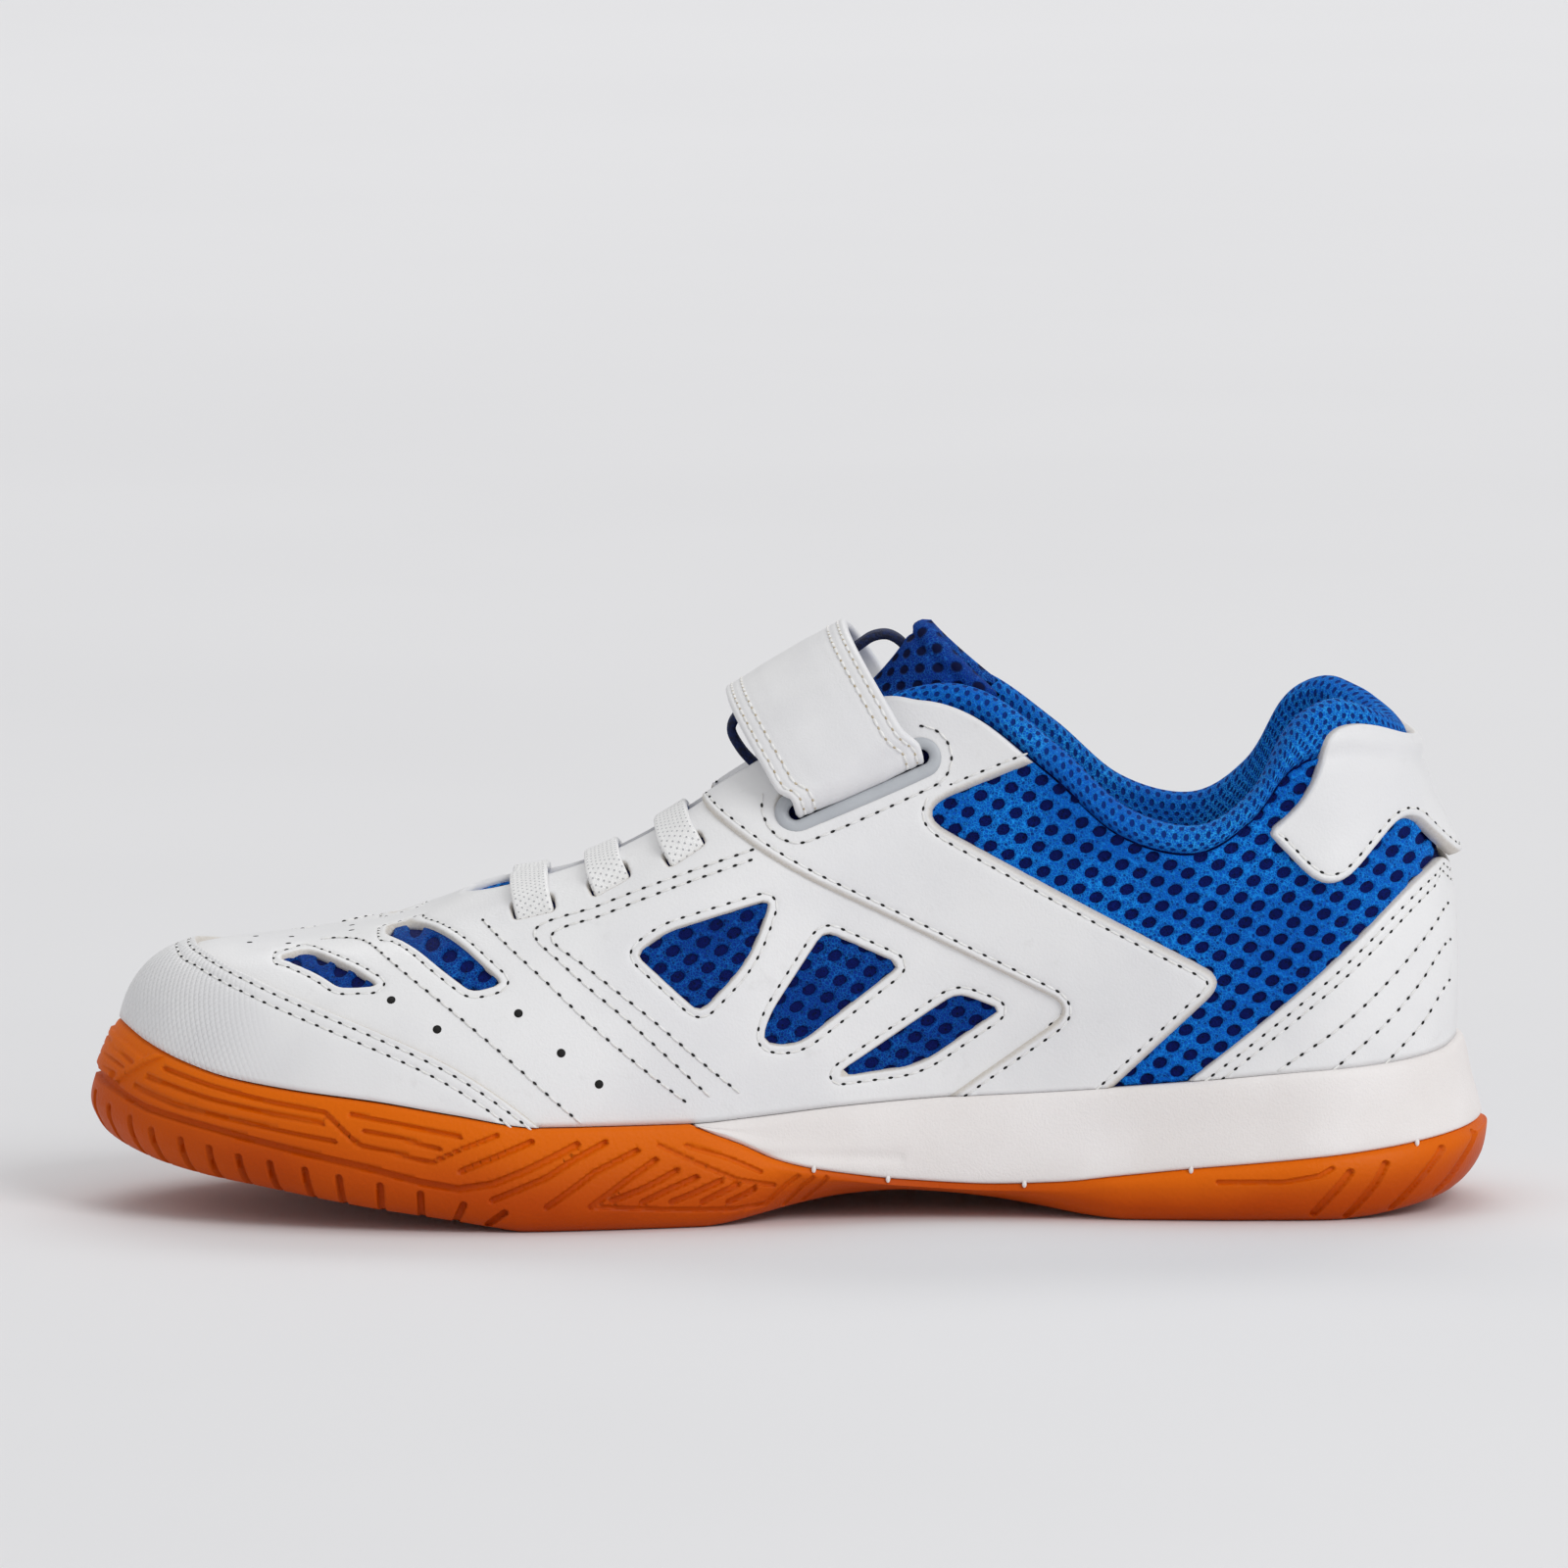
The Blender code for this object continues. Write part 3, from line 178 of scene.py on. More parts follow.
def lastPoint(turn, up):
    controls = roundLoop(ribLoop, turn)
    t = np.asarray(up, float)[..., None]
    return ((1 - t) ** 3 * controls[..., 0, :] + 3 * t * (1 - t) ** 2 * controls[..., 1, :]
            + 3 * t * t * (1 - t) * controls[..., 2, :] + t**3 * controls[..., 3, :])


def lastNormal(turn, up):
    nudge = 1e-3
    low, high = np.clip(np.asarray(up) - nudge, 0, 1), np.clip(np.asarray(up) + nudge, 0, 1)
    along = lastPoint(turn + nudge, up) - lastPoint(turn - nudge, up)
    return unit(np.cross(along, lastPoint(turn, high) - lastPoint(turn, low)))


rollLoop = np.array([6.2, 7.0, 7.4, 7.2, 5.4, 2.6] + [2.2] * 14)  # width of the collar's roll below its rim
rollLoop = np.concatenate([rollLoop, rollLoop[-2:0:-1]])


def seamUp(turn):  # where the roll is sewn to the upper
    controls = roundLoop(ribLoop, turn)
    slope = 3 * np.linalg.norm(controls[..., 3, :] - controls[..., 2, :], axis=-1)
    return 1 - roundLoop(rollLoop, turn) / slope


def collarShare(turn, up):
    seam = seamUp(turn)
    return np.clip(roundLoop(foamLoop, turn), 0, 1) * smoothStep(0, 0.035, up - seam)


def skinPoint(turn, up, offset=0.0):
    turn, up = np.broadcast_arrays(np.asarray(turn, float), np.asarray(up, float))
    lift = last["collarRoll"] * collarShare(turn, up) + offset
    return lastPoint(turn, up) + lift[..., None] * lastNormal(turn, up)


def wallThickness(turn, up):
    foam = roundLoop(foamLoop, turn) * smoothStep(0.45, 0.85, up)
    return last["meshWall"] + (last["collarFoam"] + last["collarRoll"]) * foam


def upAtHeight(turn, height):
    turn = np.asarray(turn, float)
    low, high = np.zeros(turn.shape), np.full(turn.shape, 0.9)
    for _ in range(40):
        middle = (low + high) / 2
        above = lastPoint(turn, middle)[..., 2] > height
        high = np.where(above, middle, high)
        low = np.where(above, low, middle)
    return (low + high) / 2


def biteUp(turn, clear=0.0):
    up = np.full(np.shape(turn), 0.15)
    for _ in range(4):
        station = lastPoint(turn, up)[..., 0]
        up = upAtHeight(turn, biteHeight(station) + clear)
    return up


def biteLine(turn):
    turn = np.asarray(turn, float)
    ahead, behind = (lastPoint(turn + step, biteUp(turn + step)) for step in (0.2, -0.2))
    return lastPoint(turn, biteUp(turn)), unit(np.cross((ahead - behind) * (1, 1, 0), (0, 0, 1.0)))


searchGrids = {}
for side in (1, -1):
    turnRow = onSide(np.linspace(0.2, toeRib - 0.2, 200), side)
    gridTurn, gridUp = np.meshgrid(turnRow, np.linspace(0.02, 0.99, 100), indexing="ij")
    seenPoints = skinPoint(gridTurn, gridUp).reshape(-1, 3)[:, [0, 2]]
    searchGrids[side] = (gridTurn.ravel(), gridUp.ravel(), seenPoints)


def findOnSkin(spots, side):  # (turn, up) of points given by station and height in side view
    spots = np.atleast_2d(np.asarray(spots, float))
    turns, ups, seen = searchGrids[side]
    best = np.array([np.argmin(((seen - spot) ** 2).sum(1)) for spot in spots])
    turn, up = turns[best].copy(), ups[best].copy()
    nudge = 1e-3
    for _ in range(7):
        here = skinPoint(turn, up)[:, [0, 2]]
        byTurn = (skinPoint(turn + nudge, up)[:, [0, 2]] - here) / nudge
        byUp = (skinPoint(turn, up - nudge)[:, [0, 2]] - here) / -nudge
        slopes = np.stack([byTurn, byUp], axis=2)
        damped = np.swapaxes(slopes, 1, 2) @ slopes + 0.2 * np.eye(2)
        step = np.linalg.solve(damped, np.swapaxes(slopes, 1, 2) @ (spots - here)[..., None])[..., 0]
        turn = turn + np.clip(step[:, 0], -0.4, 0.4)
        up = np.clip(up + np.clip(step[:, 1], -0.06, 0.06), 0.005, 1)
    return turn, up


class Value:  # a socket that takes part in Python arithmetic
    def __init__(self, finish, socket):
        self.finish, self.socket = finish, socket

    def math(self, operation, first, second=0.0):
        return self.finish.node("ShaderNodeMath", {"operation": operation}, {0: first, 1: second})

    def __add__(self, other):
        return self.math("ADD", self, other)

    def __sub__(self, other):
        return self.math("SUBTRACT", self, other)

    def __rsub__(self, other):
        return self.math("SUBTRACT", other, self)

    def __mul__(self, other):
        return self.math("MULTIPLY", self, other)

    def __truediv__(self, other):
        return self.math("DIVIDE", self, other)

    __radd__, __rmul__ = __add__, __mul__


class Finish:
    def __init__(self, name):
        self.material = bpy.data.materials.new(name)
        self.material.use_nodes = True
        self.tree = self.material.node_tree
        self.tree.nodes.clear()

    def node(self, kind, settings=None, sockets=None, output=0):
        made = self.tree.nodes.new(kind)
        for key, value in (settings or {}).items():
            setattr(made, key, value)
        for key, value in (sockets or {}).items():
            if isinstance(value, Value):
                self.tree.links.new(value.socket, made.inputs[key])
            else:
                made.inputs[key].default_value = value
        return Value(self, made.outputs[output])

    def place(self):
        return self.node("ShaderNodeTexCoord", output="Object")

    def attribute(self, name):
        return self.node("ShaderNodeAttribute", {"attribute_name": name}, output=2)

    def ramp(self, value, low, high, start=0.0, end=1.0):  # a smooth step between two values
        return self.node("ShaderNodeMapRange", {"interpolation_type": "SMOOTHSTEP"},
                         {0: value, 1: low, 2: high, 3: start, 4: end})

    def colours(self, factor, first, second):
        return self.node("ShaderNodeMix", {"data_type": "RGBA"}, {0: factor, 6: first, 7: second}, 2)

    def speckle(self, scale, detail):
        return self.node("ShaderNodeTexNoise", {}, {"Vector": self.place(), "Scale": scale, "Detail": detail})

    def cells(self, scale, feature):
        return self.node("ShaderNodeTexVoronoi", {"feature": feature}, {"Vector": self.place(), "Scale": scale})

    def lattice(self, u, v, pitch, hole):  # 0 at the points of a staggered lattice, 1 at the edge of its holes
        rows = []
        for shift in (0.0, 0.5):
            x, y = ((u.math("FRACT", at / step + shift) - 0.5) * (step / size)
                    for at, step, size in zip((u, v), pitch, hole))
            rows.append(x * x + y * y)
        return rows[0].math("MINIMUM", *rows)

    def layer(self, name):  # both coordinates of a UV layer
        place = self.node("ShaderNodeUVMap", {"uv_map": name})
        return [self.node("ShaderNodeSeparateXYZ", {}, {0: place}, k) for k in (0, 1)]

    def bump(self, height, distance):
        return self.node("ShaderNodeBump", {}, {"Height": height, "Distance": distance, "Strength": 1.0})

    def done(self, **sockets):
        named = {key.replace("_", " "): value for key, value in sockets.items()}
        shader = self.node("ShaderNodeBsdfPrincipled", {}, named)
        output = self.tree.nodes.new("ShaderNodeOutputMaterial")
        self.tree.links.new(shader.socket, output.inputs["Surface"])
        return self.material


def rgb(code):  # a screen colour as linear values
    parts = [int(code[k:k + 2], 16) / 255 for k in (0, 2, 4)]
    return (*[((c + 0.055) / 1.055) ** 2.4 if c > 0.04 else c / 12.92 for c in parts], 1.0)


def leatherFinish(name, grain, grainDepth, dimples=None, raw=0.55):
    finish = Finish(name)
    cloud = finish.speckle(38, 3)
    rawEdge = finish.ramp(finish.attribute("edge"), 0.35 * raw, raw, 1.0, 0.0)
    base = finish.colours(finish.ramp(cloud, 0.35, 0.7), rgb("EDEDEE"), rgb("E4E4E6"))
    scuffs = finish.ramp(finish.speckle(260, 4), 0.62, 0.78)
    base = finish.colours(scuffs * 0.3, base, rgb("D6D5D5"))
    fibres = finish.ramp(finish.speckle(3400, 3), 0.35, 0.65)
    base = finish.colours(rawEdge * (0.65 + 0.3 * fibres), base, rgb("CFC8BE"))
    height = finish.speckle(grain, 3) * 0.6 + finish.cells(grain * 0.8, "SMOOTH_F1") * 0.4
    if dimples:
        front = finish.ramp(finish.attribute("dimple"), 0.0, 1.0)
        dots = finish.lattice(finish.attribute("round"), finish.attribute("climb"), dimples, dimples)
        domes = finish.ramp(dots, 0.0, 0.2, 1.0, 0.0)
        height = height * 0.3 + domes * front
    rough = finish.ramp(cloud, 0.3, 0.7, 0.4, 0.48) + rawEdge * 0.3
    return finish.done(Base_Color=base, Roughness=rough, Specular_IOR_Level=0.45,
                       Normal=finish.bump(height, grainDepth))


def knitFinish(name, dark, light, holeShade, rowScale, depth):
    finish = Finish(name)
    rings = finish.cells(rowScale, "F1")
    strands = finish.cells(rowScale * 1.7, "DISTANCE_TO_EDGE")
    shade = finish.ramp(rings, 0.1, 0.5)
    glint = finish.ramp(strands, 0.0, 0.2, 1.0, 0.0)
    cloud = finish.speckle(60, 2)
    base = finish.colours(shade, rgb(holeShade), rgb(dark))
    base = finish.colours(glint * finish.ramp(cloud, 0.3, 0.75, 0.3, 0.8), base, rgb(light))
    return finish.done(Base_Color=base, Roughness=0.8, Specular_IOR_Level=0.12,
                       Normal=finish.bump(shade * 0.6 + glint * 0.5, depth))


def holedKnit(name, layer, pitch, hole, dark, light, holeShade, strandScale, depth):
    finish = Finish(name)
    u, v = finish.layer(layer)
    # the holes are the knit's own pattern; the dark colour put into them is painted shade inside the holes
    solid = finish.ramp(finish.lattice(u, v, pitch, hole), 0.5, 1.5)
    glint = finish.ramp(finish.cells(strandScale, "DISTANCE_TO_EDGE"), 0.0, 0.2, 1.0, 0.0)
    cloud = finish.speckle(60, 2)
    face = finish.colours(glint * finish.ramp(cloud, 0.3, 0.75, 0.3, 0.8), rgb(dark), rgb(light))
    base = finish.colours(solid, rgb(holeShade), face)
    return finish.done(Base_Color=base, Roughness=0.8, Specular_IOR_Level=0.12,
                       Normal=finish.bump(solid * 0.8 + glint * solid * 0.3, depth))


def plainFinish(name, first, second, cloudScale, rough, grain, depth):
    finish = Finish(name)
    cloud = finish.speckle(cloudScale, 3)
    base = finish.colours(finish.ramp(cloud, 0.3, 0.7), rgb(first), rgb(second))
    return finish.done(Base_Color=base, Roughness=finish.ramp(cloud, 0.3, 0.7, rough, rough + 0.12),
                       Normal=finish.bump(finish.speckle(grain, 2), depth))


def gumFinish(name):  # painted glow: lighter orange towards the top edge stands in for light on the rim, with a fine pebble
    finish = Finish(name)
    cloud, pebble = finish.speckle(30, 3), finish.cells(1500, "SMOOTH_F1")
    low = finish.colours(finish.ramp(cloud, 0.3, 0.7), rgb("B44200"), rgb("C24E00"))
    # painted light: the share attribute, height up the sole's side, mixes in the lighter orange of a lit rim
    base = finish.colours(finish.ramp(finish.attribute("share"), 0.25, 1.0), low, rgb("E06800"))
    rough = finish.ramp(cloud, 0.3, 0.7, 0.42, 0.52)
    return finish.done(Base_Color=base, Roughness=rough, Specular_IOR_Level=0.12,
                       Normal=finish.bump(pebble * 0.6 + finish.speckle(2600, 2) * 0.4, 0.0001))


leather = leatherFinish("white_coated_leather", 2600, 0.00006)
saddleLeather = leatherFinish("white_saddle_leather", 2600, 0.00006, raw=1.25)
capLeather = leatherFinish("grained_toe_leather", 2600, 0.00014, dimples=(1.1, 1.9))
meshFace = knitFinish("blue_spacer_mesh", "0058C0", "1CA0FF", "003288", 1050, 0.00025)
# painted shade: a darker copy of the blue spacer mesh, for the mesh sunk in the windows
shadedWindowMesh = knitFinish("blue_window_mesh_shaded", "003189", "1473CB", "011E5E", 1050, 0.00025)
meshCore = knitFinish("navy_mesh_core", "020E4D", "051E70", "010826", 1300, 0.0001)
collarKnit = holedKnit("blue_collar_knit", "knit", (0.0019, 0.0026), (0.0004, 0.00042),
                       "0058C4", "30B0FF", "012A78", 2100, 0.0004)
tongueKnit = holedKnit("blue_tongue_knit", "band", (0.0046, 0.0036), (0.0009, 0.00075),
                       "003190", "2A7FDD", "020A34", 2000, 0.0006)
gumRubber = gumFinish("gum_rubber")
foam = plainFinish("white_midsole_foam", "EFEBEA", "E8E3E1", 45, 0.6, 2600, 0.00008)
footbed = knitFinish("footbed_cloth", "14306E", "2A4E98", "0A1A44", 900, 0.0001)
thread = plainFinish("white_thread", "F0F0F0", "E2E1DE", 900, 0.6, 5200, 0.00003)
# painted shade: near-black beads and dots stand in for the shade inside needle holes and punched air holes
paintedHoleShade = plainFinish("needle_hole", "0B0B0C", "1A1917", 700, 0.8, 3000, 0.00002)
# tan beads at the strap's needle holes
tanHole = plainFinish("tan_needle_hole", "C9BCA4", "B3A388", 700, 0.8, 3000, 0.00002)
webbing = plainFinish("strap_coating", "EFEFF0", "E6E6E8", 60, 0.42, 3000, 0.00005)
elastic = holedKnit("white_elastic", "band", (0.00125, 0.0015), (0.00014, 0.00016),
                    "FBFBFB", "FFFFFF", "BEBFC2", 4200, 0.00014)
navyTape = plainFinish("navy_tape", "06102E", "14285A", 1400, 0.75, 2600, 0.0003)
ringPlastic = plainFinish("grey_ring_plastic", "B9BDC2", "AFB3B9", 80, 0.32, 1500, 0.00001)
print("finishes made")


def addObject(name, mesh, slot, *nodes):
    piece = bpy.data.objects.new(name, mesh)
    bpy.context.scene.collection.objects.link(piece)
    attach(piece, "root")
    if nodes:
        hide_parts(*nodes)
    print("piece", name, len(mesh.polygons), "faces")
    return piece


def addPiece(name, verts, faces, material, slot, *nodes, attributes=None):
    mesh = bpy.data.meshes.new(name)
    mesh.from_pydata(verts, [], faces)
    for key, values in (attributes or {}).items():
        mesh.attributes.new(key, "FLOAT", "POINT").data.foreach_set("value", np.asarray(values, np.float32))
    mesh.shade_smooth()
    mesh.materials.append(material)
    mesh.update()
    return addObject(name, mesh, slot, *nodes)


def joined(parts):  # one list of points and faces from several
    verts, faces, start = [], [], 0
    for points, own in parts:
        verts.append(points)
        faces += [tuple(k + start for k in face) for face in own]
        start += len(points)
    return toFrame(np.concatenate(verts)), faces


def gridFaces(rows, columns, closeRows=False, closeColumns=False):
    faces = []
    for r in range(rows if closeRows else rows - 1):
        for c in range(columns if closeColumns else columns - 1):
            a, b = r * columns + c, r * columns + (c + 1) % columns
            d, e = (r + 1) % rows * columns + c, (r + 1) % rows * columns + (c + 1) % columns
            faces.append((a, d, e, b))
    return faces


# the upper: one shell of mesh, rolled collar and lining

upperShape = {
    "columns": 456, "sideRows": 30, "topRows": 26, "rimRows": 8, "insideRows": 22, "seam": 0.45, "seamWidth": 0.01,
    "rimRoundness": 0.8,
}


def buildUpper():
    turns = np.arange(upperShape["columns"]) * ribCount / upperShape["columns"]
    sideUps, topUps = np.linspace(0, 0.8, upperShape["sideRows"]), np.linspace(0.81, 1, upperShape["topRows"])
    outsideUps, insideUps = np.concatenate([sideUps, topUps]), np.linspace(1, 0, upperShape["insideRows"])
    column = turns[:, None]
    padded = np.clip(roundLoop(foamLoop, column), 0, 1)
    seam = upperShape["seam"] * padded * bell(outsideUps - seamUp(column), upperShape["seamWidth"])
    outside = skinPoint(column, outsideUps, -seam)
    inside = skinPoint(column, insideUps, -wallThickness(column, insideUps))
    ones = np.ones(len(turns))
    across = lastNormal(turns, ones) * wallThickness(turns, ones)[:, None] / 2
    upward = lastPoint(turns, ones) - lastPoint(turns, 0.98 * ones)
    upward *= np.linalg.norm(across, axis=1, keepdims=True) / np.linalg.norm(upward, axis=1, keepdims=True)
    edge = skinPoint(turns, ones)
    bend = np.linspace(0, math.pi, upperShape["rimRows"] + 2)[1:-1]
    roundness = upperShape["rimRoundness"]
    rim = [edge - across + math.cos(a) * across + roundness * math.sin(a) * upward for a in bend]
    grid = np.concatenate([outside, np.stack(rim, axis=1), inside], axis=1)
    faces = gridFaces(*grid.shape[:2], closeRows=True, closeColumns=True)
    piece = addPiece("upper_shell", toFrame(grid.reshape(-1, 3)), faces, collarKnit, "blue_mesh", "upper")
    piece.data.materials.append(meshCore)
    ups = np.concatenate([outsideUps, np.ones(len(bend) + len(insideUps))])
    core = (ups[None] < seamUp(column)).astype(np.int32)
    piece.data.polygons.foreach_set("material_index", core.ravel())
    rows = grid.shape[1]
    around = running(np.linalg.norm(np.roll(edge, -1, axis=0) - edge, axis=1))
    climb = running(np.linalg.norm(np.diff(grid, axis=1), axis=-1).mean(0))
    corners = np.array([k for face in faces for k in face])
    columns = corners // rows
    columns[-4 * rows:] = np.where(columns[-4 * rows:] == 0, len(turns), columns[-4 * rows:])
    places = np.stack([around[columns], climb[corners % rows]], axis=1)
    piece.data.uv_layers.new(name="knit").data.foreach_set("uv", (places * mm).ravel())


buildUpper()


# white panels: sheets on the skin, cut along distance lines so that edges are round and stitches follow

sheetShape = {
    "inset": 0.25, "sink": 0.2, "sinkWidth": 0.38, "sewnHalf": 0.45, "slotClear": 4.2, "threadLift": 0.02,
    "snap": 0.03,
}


def rounded(rows, steps=6):  # outline points from (station, height, size of the rounded corner)
    points = []
    for before, row, after in zip(rows[-1:] + rows[:-1], rows, rows[1:] + rows[:1]):
        corner = Vector(row[:2])
        back, ahead = Vector(before[:2]) - corner, Vector(after[:2]) - corner
        if row[2] == 0:
            points.append(corner)
            continue
        start = corner + back.normalized() * min(row[2], 0.48 * back.length)
        end = corner + ahead.normalized() * min(row[2], 0.48 * ahead.length)
        for step in range(steps + 1):
            t = step / steps
            points.append((1 - t) ** 2 * start + 2 * t * (1 - t) * corner + t * t * end)
    return np.array([point[:] for point in points])


def outlineDistance(outline, s, z):  # side-view distance to an outline, positive inside
    best = np.full(s.shape, 1e9)
    inside = np.zeros(s.shape, bool)
    for (ax, az), (bx, bz) in zip(outline, np.roll(outline, -1, axis=0)):
        dx, dz = bx - ax, bz - az
        t = np.clip(((s - ax) * dx + (z - az) * dz) / max(dx * dx + dz * dz, 1e-9), 0, 1)
        best = np.minimum(best, np.hypot(s - ax - t * dx, z - az - t * dz))
        if az != bz:
            inside ^= ((az > z) != (bz > z)) & (s < ax + (z - az) / (bz - az) * dx)
    return np.where(inside, best, -best)


def onSurface(field, points):  # a side-view distance turned into one along the skin
    byTurn, byUp = np.gradient(points, axis=0), np.gradient(points, axis=1)
    fTurn, fUp = np.gradient(field, axis=0), np.gradient(field, axis=1)
    e, f, g = (byTurn * byTurn).sum(-1), (byTurn * byUp).sum(-1), (byUp * byUp).sum(-1)
    slope = (g * fTurn**2 - 2 * f * fTurn * fUp + e * fUp**2) / np.maximum(e * g - f * f, 1e-9)
    return field / np.sqrt(np.clip(slope, 0.12, 1.5))


def cutSheet(turns, ups, field, levels):  # cells split along levels of the field, dropped below the first
    rows, columns = field.shape
    spots = np.stack([turns, ups], axis=-1).reshape(-1, 2).tolist()
    value = field.ravel().copy()
    for level in levels:
        value[np.abs(value - level) < sheetShape["snap"]] = level
    value = value.tolist()
    index = np.arange(rows * columns).reshape(rows, columns)
    cells = np.stack([index[:-1, :-1], index[1:, :-1], index[1:, 1:], index[:-1, 1:]], axis=-1).reshape(-1, 4)
    faces = cells[np.array(value)[cells].max(1) > levels[0]].tolist()
    for number, level in enumerate(levels):
        made, result = {}, []
        for face in faces:
            heights = [value[k] for k in face]
            if min(heights) >= level:
                result.append(face)
                continue
            if max(heights) <= level:
                if number:
                    result.append(face)
                continue
            above, below = [], []
            for a, b in zip(face, face[1:] + face[:1]):
                va, vb = value[a], value[b]
                if va >= level:
                    above.append(a)
                if va <= level:
                    below.append(a)
                if (va - level) * (vb - level) < 0:
                    key = (a, b) if a < b else (b, a)
                    if key not in made:
                        t = (level - va) / (vb - va)
                        spots.append([spots[a][i] + (spots[b][i] - spots[a][i]) * t for i in (0, 1)])
                        value.append(level)
                        made[key] = len(value) - 1
                    above.append(made[key])
                    below.append(made[key])
            if len(above) > 2:
                result.append(above)
            if number and len(below) > 2:
                result.append(below)
        faces = result
    return np.array(spots), np.array(value), faces


def closedSheet(outer, inner, faces, isEdge):  # a solid from two sheets that share their edge points
    used = np.zeros(len(outer), bool)
    used[[k for face in faces for k in face]] = True
    outerId = np.cumsum(used) - 1
    own = used & ~isEdge
    innerId = np.where(isEdge, outerId, used.sum() + np.cumsum(own) - 1)
    verts = np.concatenate([outer[used], inner[own]])
    solid = [[int(outerId[k]) for k in face] for face in faces]
    solid += [[int(innerId[k]) for k in reversed(face)] for face in faces]
    seen = {pair: True for face in faces for pair in zip(face, face[1:] + face[:1])}
    for a, b in seen:
        if (b, a) not in seen and not (isEdge[a] and isEdge[b]):
            wall = [int(outerId[b]), int(outerId[a]), int(innerId[a]), int(innerId[b])]
            solid.append(list(dict.fromkeys(wall)))
    return verts, solid, np.concatenate([np.flatnonzero(used), np.flatnonzero(own)])


stitchRows = {"panel": [], "strap": []}  # (points, outward directions, edges) of every sewn line


def keepStitches(points, outward, edges, kind="panel"):
    stitchRows[kind].append((points, outward, edges))


def panelGrid(first, end, low, high, cell):
    turn = np.linspace(first, end, max(int(abs(end - first) * last["ribStep"] / cell), 8))
    start = biteUp(turn, 0.1) if low is None else np.full(turn.shape, low)
    stop = high(turn) if callable(high) else np.full(turn.shape, high)
    rows = max(int((stop - start).max() * last["upStep"] / cell), 8)
    share = np.linspace(0, 1, rows)
    return np.repeat(turn[:, None], rows, axis=1), start[:, None] + (stop - start)[:, None] * share


def slotDistance(shape, turns, s, z):  # distance to the slots of the side a point is on
    field = np.full(s.shape, 1e3)
    for side, outlines in shape.get("slots", {}).items():
        for outline in outlines:
            away = np.where((turns > toeRib) == (side > 0), -outlineDistance(outline, s, z), 1e3)
            field = np.minimum(field, away)
    return field


def panelSheet(shape):
    turns, ups = panelGrid(*shape["turns"], *shape["ups"], shape.get("cell", 1.0))
    points = skinPoint(turns, ups)
    s, z = points[..., 0], points[..., 2]
    field = np.full(s.shape, 1e3)
    for outline in shape["keep"]:
        field = np.minimum(field, onSurface(outlineDistance(outline, s, z), points))
    for outline in shape.get("holes", []):
        away = onSurface(-outlineDistance(outline, s, z), points)
        field = np.minimum(field, np.maximum(away, shape["clear"] - np.abs(points[..., 1])))
    field = np.minimum(field, slotDistance(shape, turns, s, z))
    if "pattern" in shape:
        field = np.minimum(field, shape["pattern"](s, z))
    edge, lift, inset, half = shape["edge"], shape["lift"], sheetShape["inset"], sheetShape["sewnHalf"]
    sewn = shape.get("sewn", [])
    levels = sorted({0.0, 0.1 * edge, 0.4 * edge, edge} | {d + k for d in sewn for k in (-half, 0.0, half)})
    spots, value, faces = cutSheet(turns, ups, field, levels)
    rise = np.sqrt(np.clip(1 - (1 - np.clip(value / edge, 0, 1)) ** 2, 0, 1))
    offset = -inset + (lift + inset) * rise
    skin = skinPoint(spots[:, 0], spots[:, 1])
    sewable = slotDistance(shape, spots[:, 0], skin[:, 0], skin[:, 2]) > sheetShape["slotClear"]
    if "sewnWhere" in shape:
        sewable &= shape["sewnWhere"](skin)
    for distance in sewn:
        offset -= sheetShape["sink"] * bell(value - distance, sheetShape["sinkWidth"]) * sewable
    flare = shape["flare"](spots, skin) if "flare" in shape else np.zeros(len(spots))
    outer = skinPoint(spots[:, 0], spots[:, 1], offset + flare)
    inner = skinPoint(spots[:, 0], spots[:, 1], flare - inset)
    isEdge = value <= 1e-9
    normal = lastNormal(spots[:, 0], spots[:, 1])
    for distance in sewn:
        onLine = (value == distance) & sewable
        line = {tuple(sorted(pair)) for face in faces for pair in zip(face, face[1:] + face[:1])
                if onLine[pair[0]] and onLine[pair[1]]}
        keepStitches(outer + normal * sheetShape["threadLift"], normal, sorted(line))
    verts, solid, source = closedSheet(outer, inner, faces, isEdge)
    dimple = shape["dimple"](outer[source]) if "dimple" in shape else np.zeros(len(source))
    around, climb = spots[source, 0] * last["ribStep"], spots[source, 1] * last["upStep"]
    return verts, solid, {"edge": value[source], "dimple": dimple, "round": around, "climb": climb}


def buildPanel(name, shapes, material, slot, *nodes):
    sheets = [panelSheet(shape) for shape in shapes]
    attributes = {key: np.concatenate([values[key] for _, _, values in sheets]) for key in sheets[0][2]}
    verts, faces = joined([(points, solid) for points, solid, _ in sheets])
    addPiece(name, verts, faces, material, slot, *nodes, attributes=attributes)


# edges in side view, as (station, height, size of the rounded corner)
capEdge = [
    (219.5, 54, 0), (218.6, 42.6, 2), (214, 41.1, 5), (200.8, 37.2, 10), (185.8, 32.5, 10), (173.5, 27.3, 8),
    (163.7, 20.9, 6), (155, 13.5, 0),
]
saddleFront = [(118, 82, 0), (134.5, 69, 5), (120, 59.1, 10), (70.6, 35.6, 4.5), (96, 17.8, 0)]
saddleRear = [(64, 82, 0), (97.4, 68.0, 7), (44.4, 40.5, 5), (68.5, 17.8, 0)]
counterEdge = [(58, 18.2, 0), (31, 39.8, 12), (14, 56.3, 6), (9.4, 59, 1), (4, 50.5, 0)]
tabOutline = [
    (38.4, 65.2, 1.5), (27.5, 53.8, 7), (15.4, 68.2, 5), (5.6, 53.6, 0), (0, 53.6, 0), (0, 77.8, 0),
    (12, 78, 0), (21.5, 83.2, 5), (28.2, 82.4, 3), (31.5, 71, 6),
]
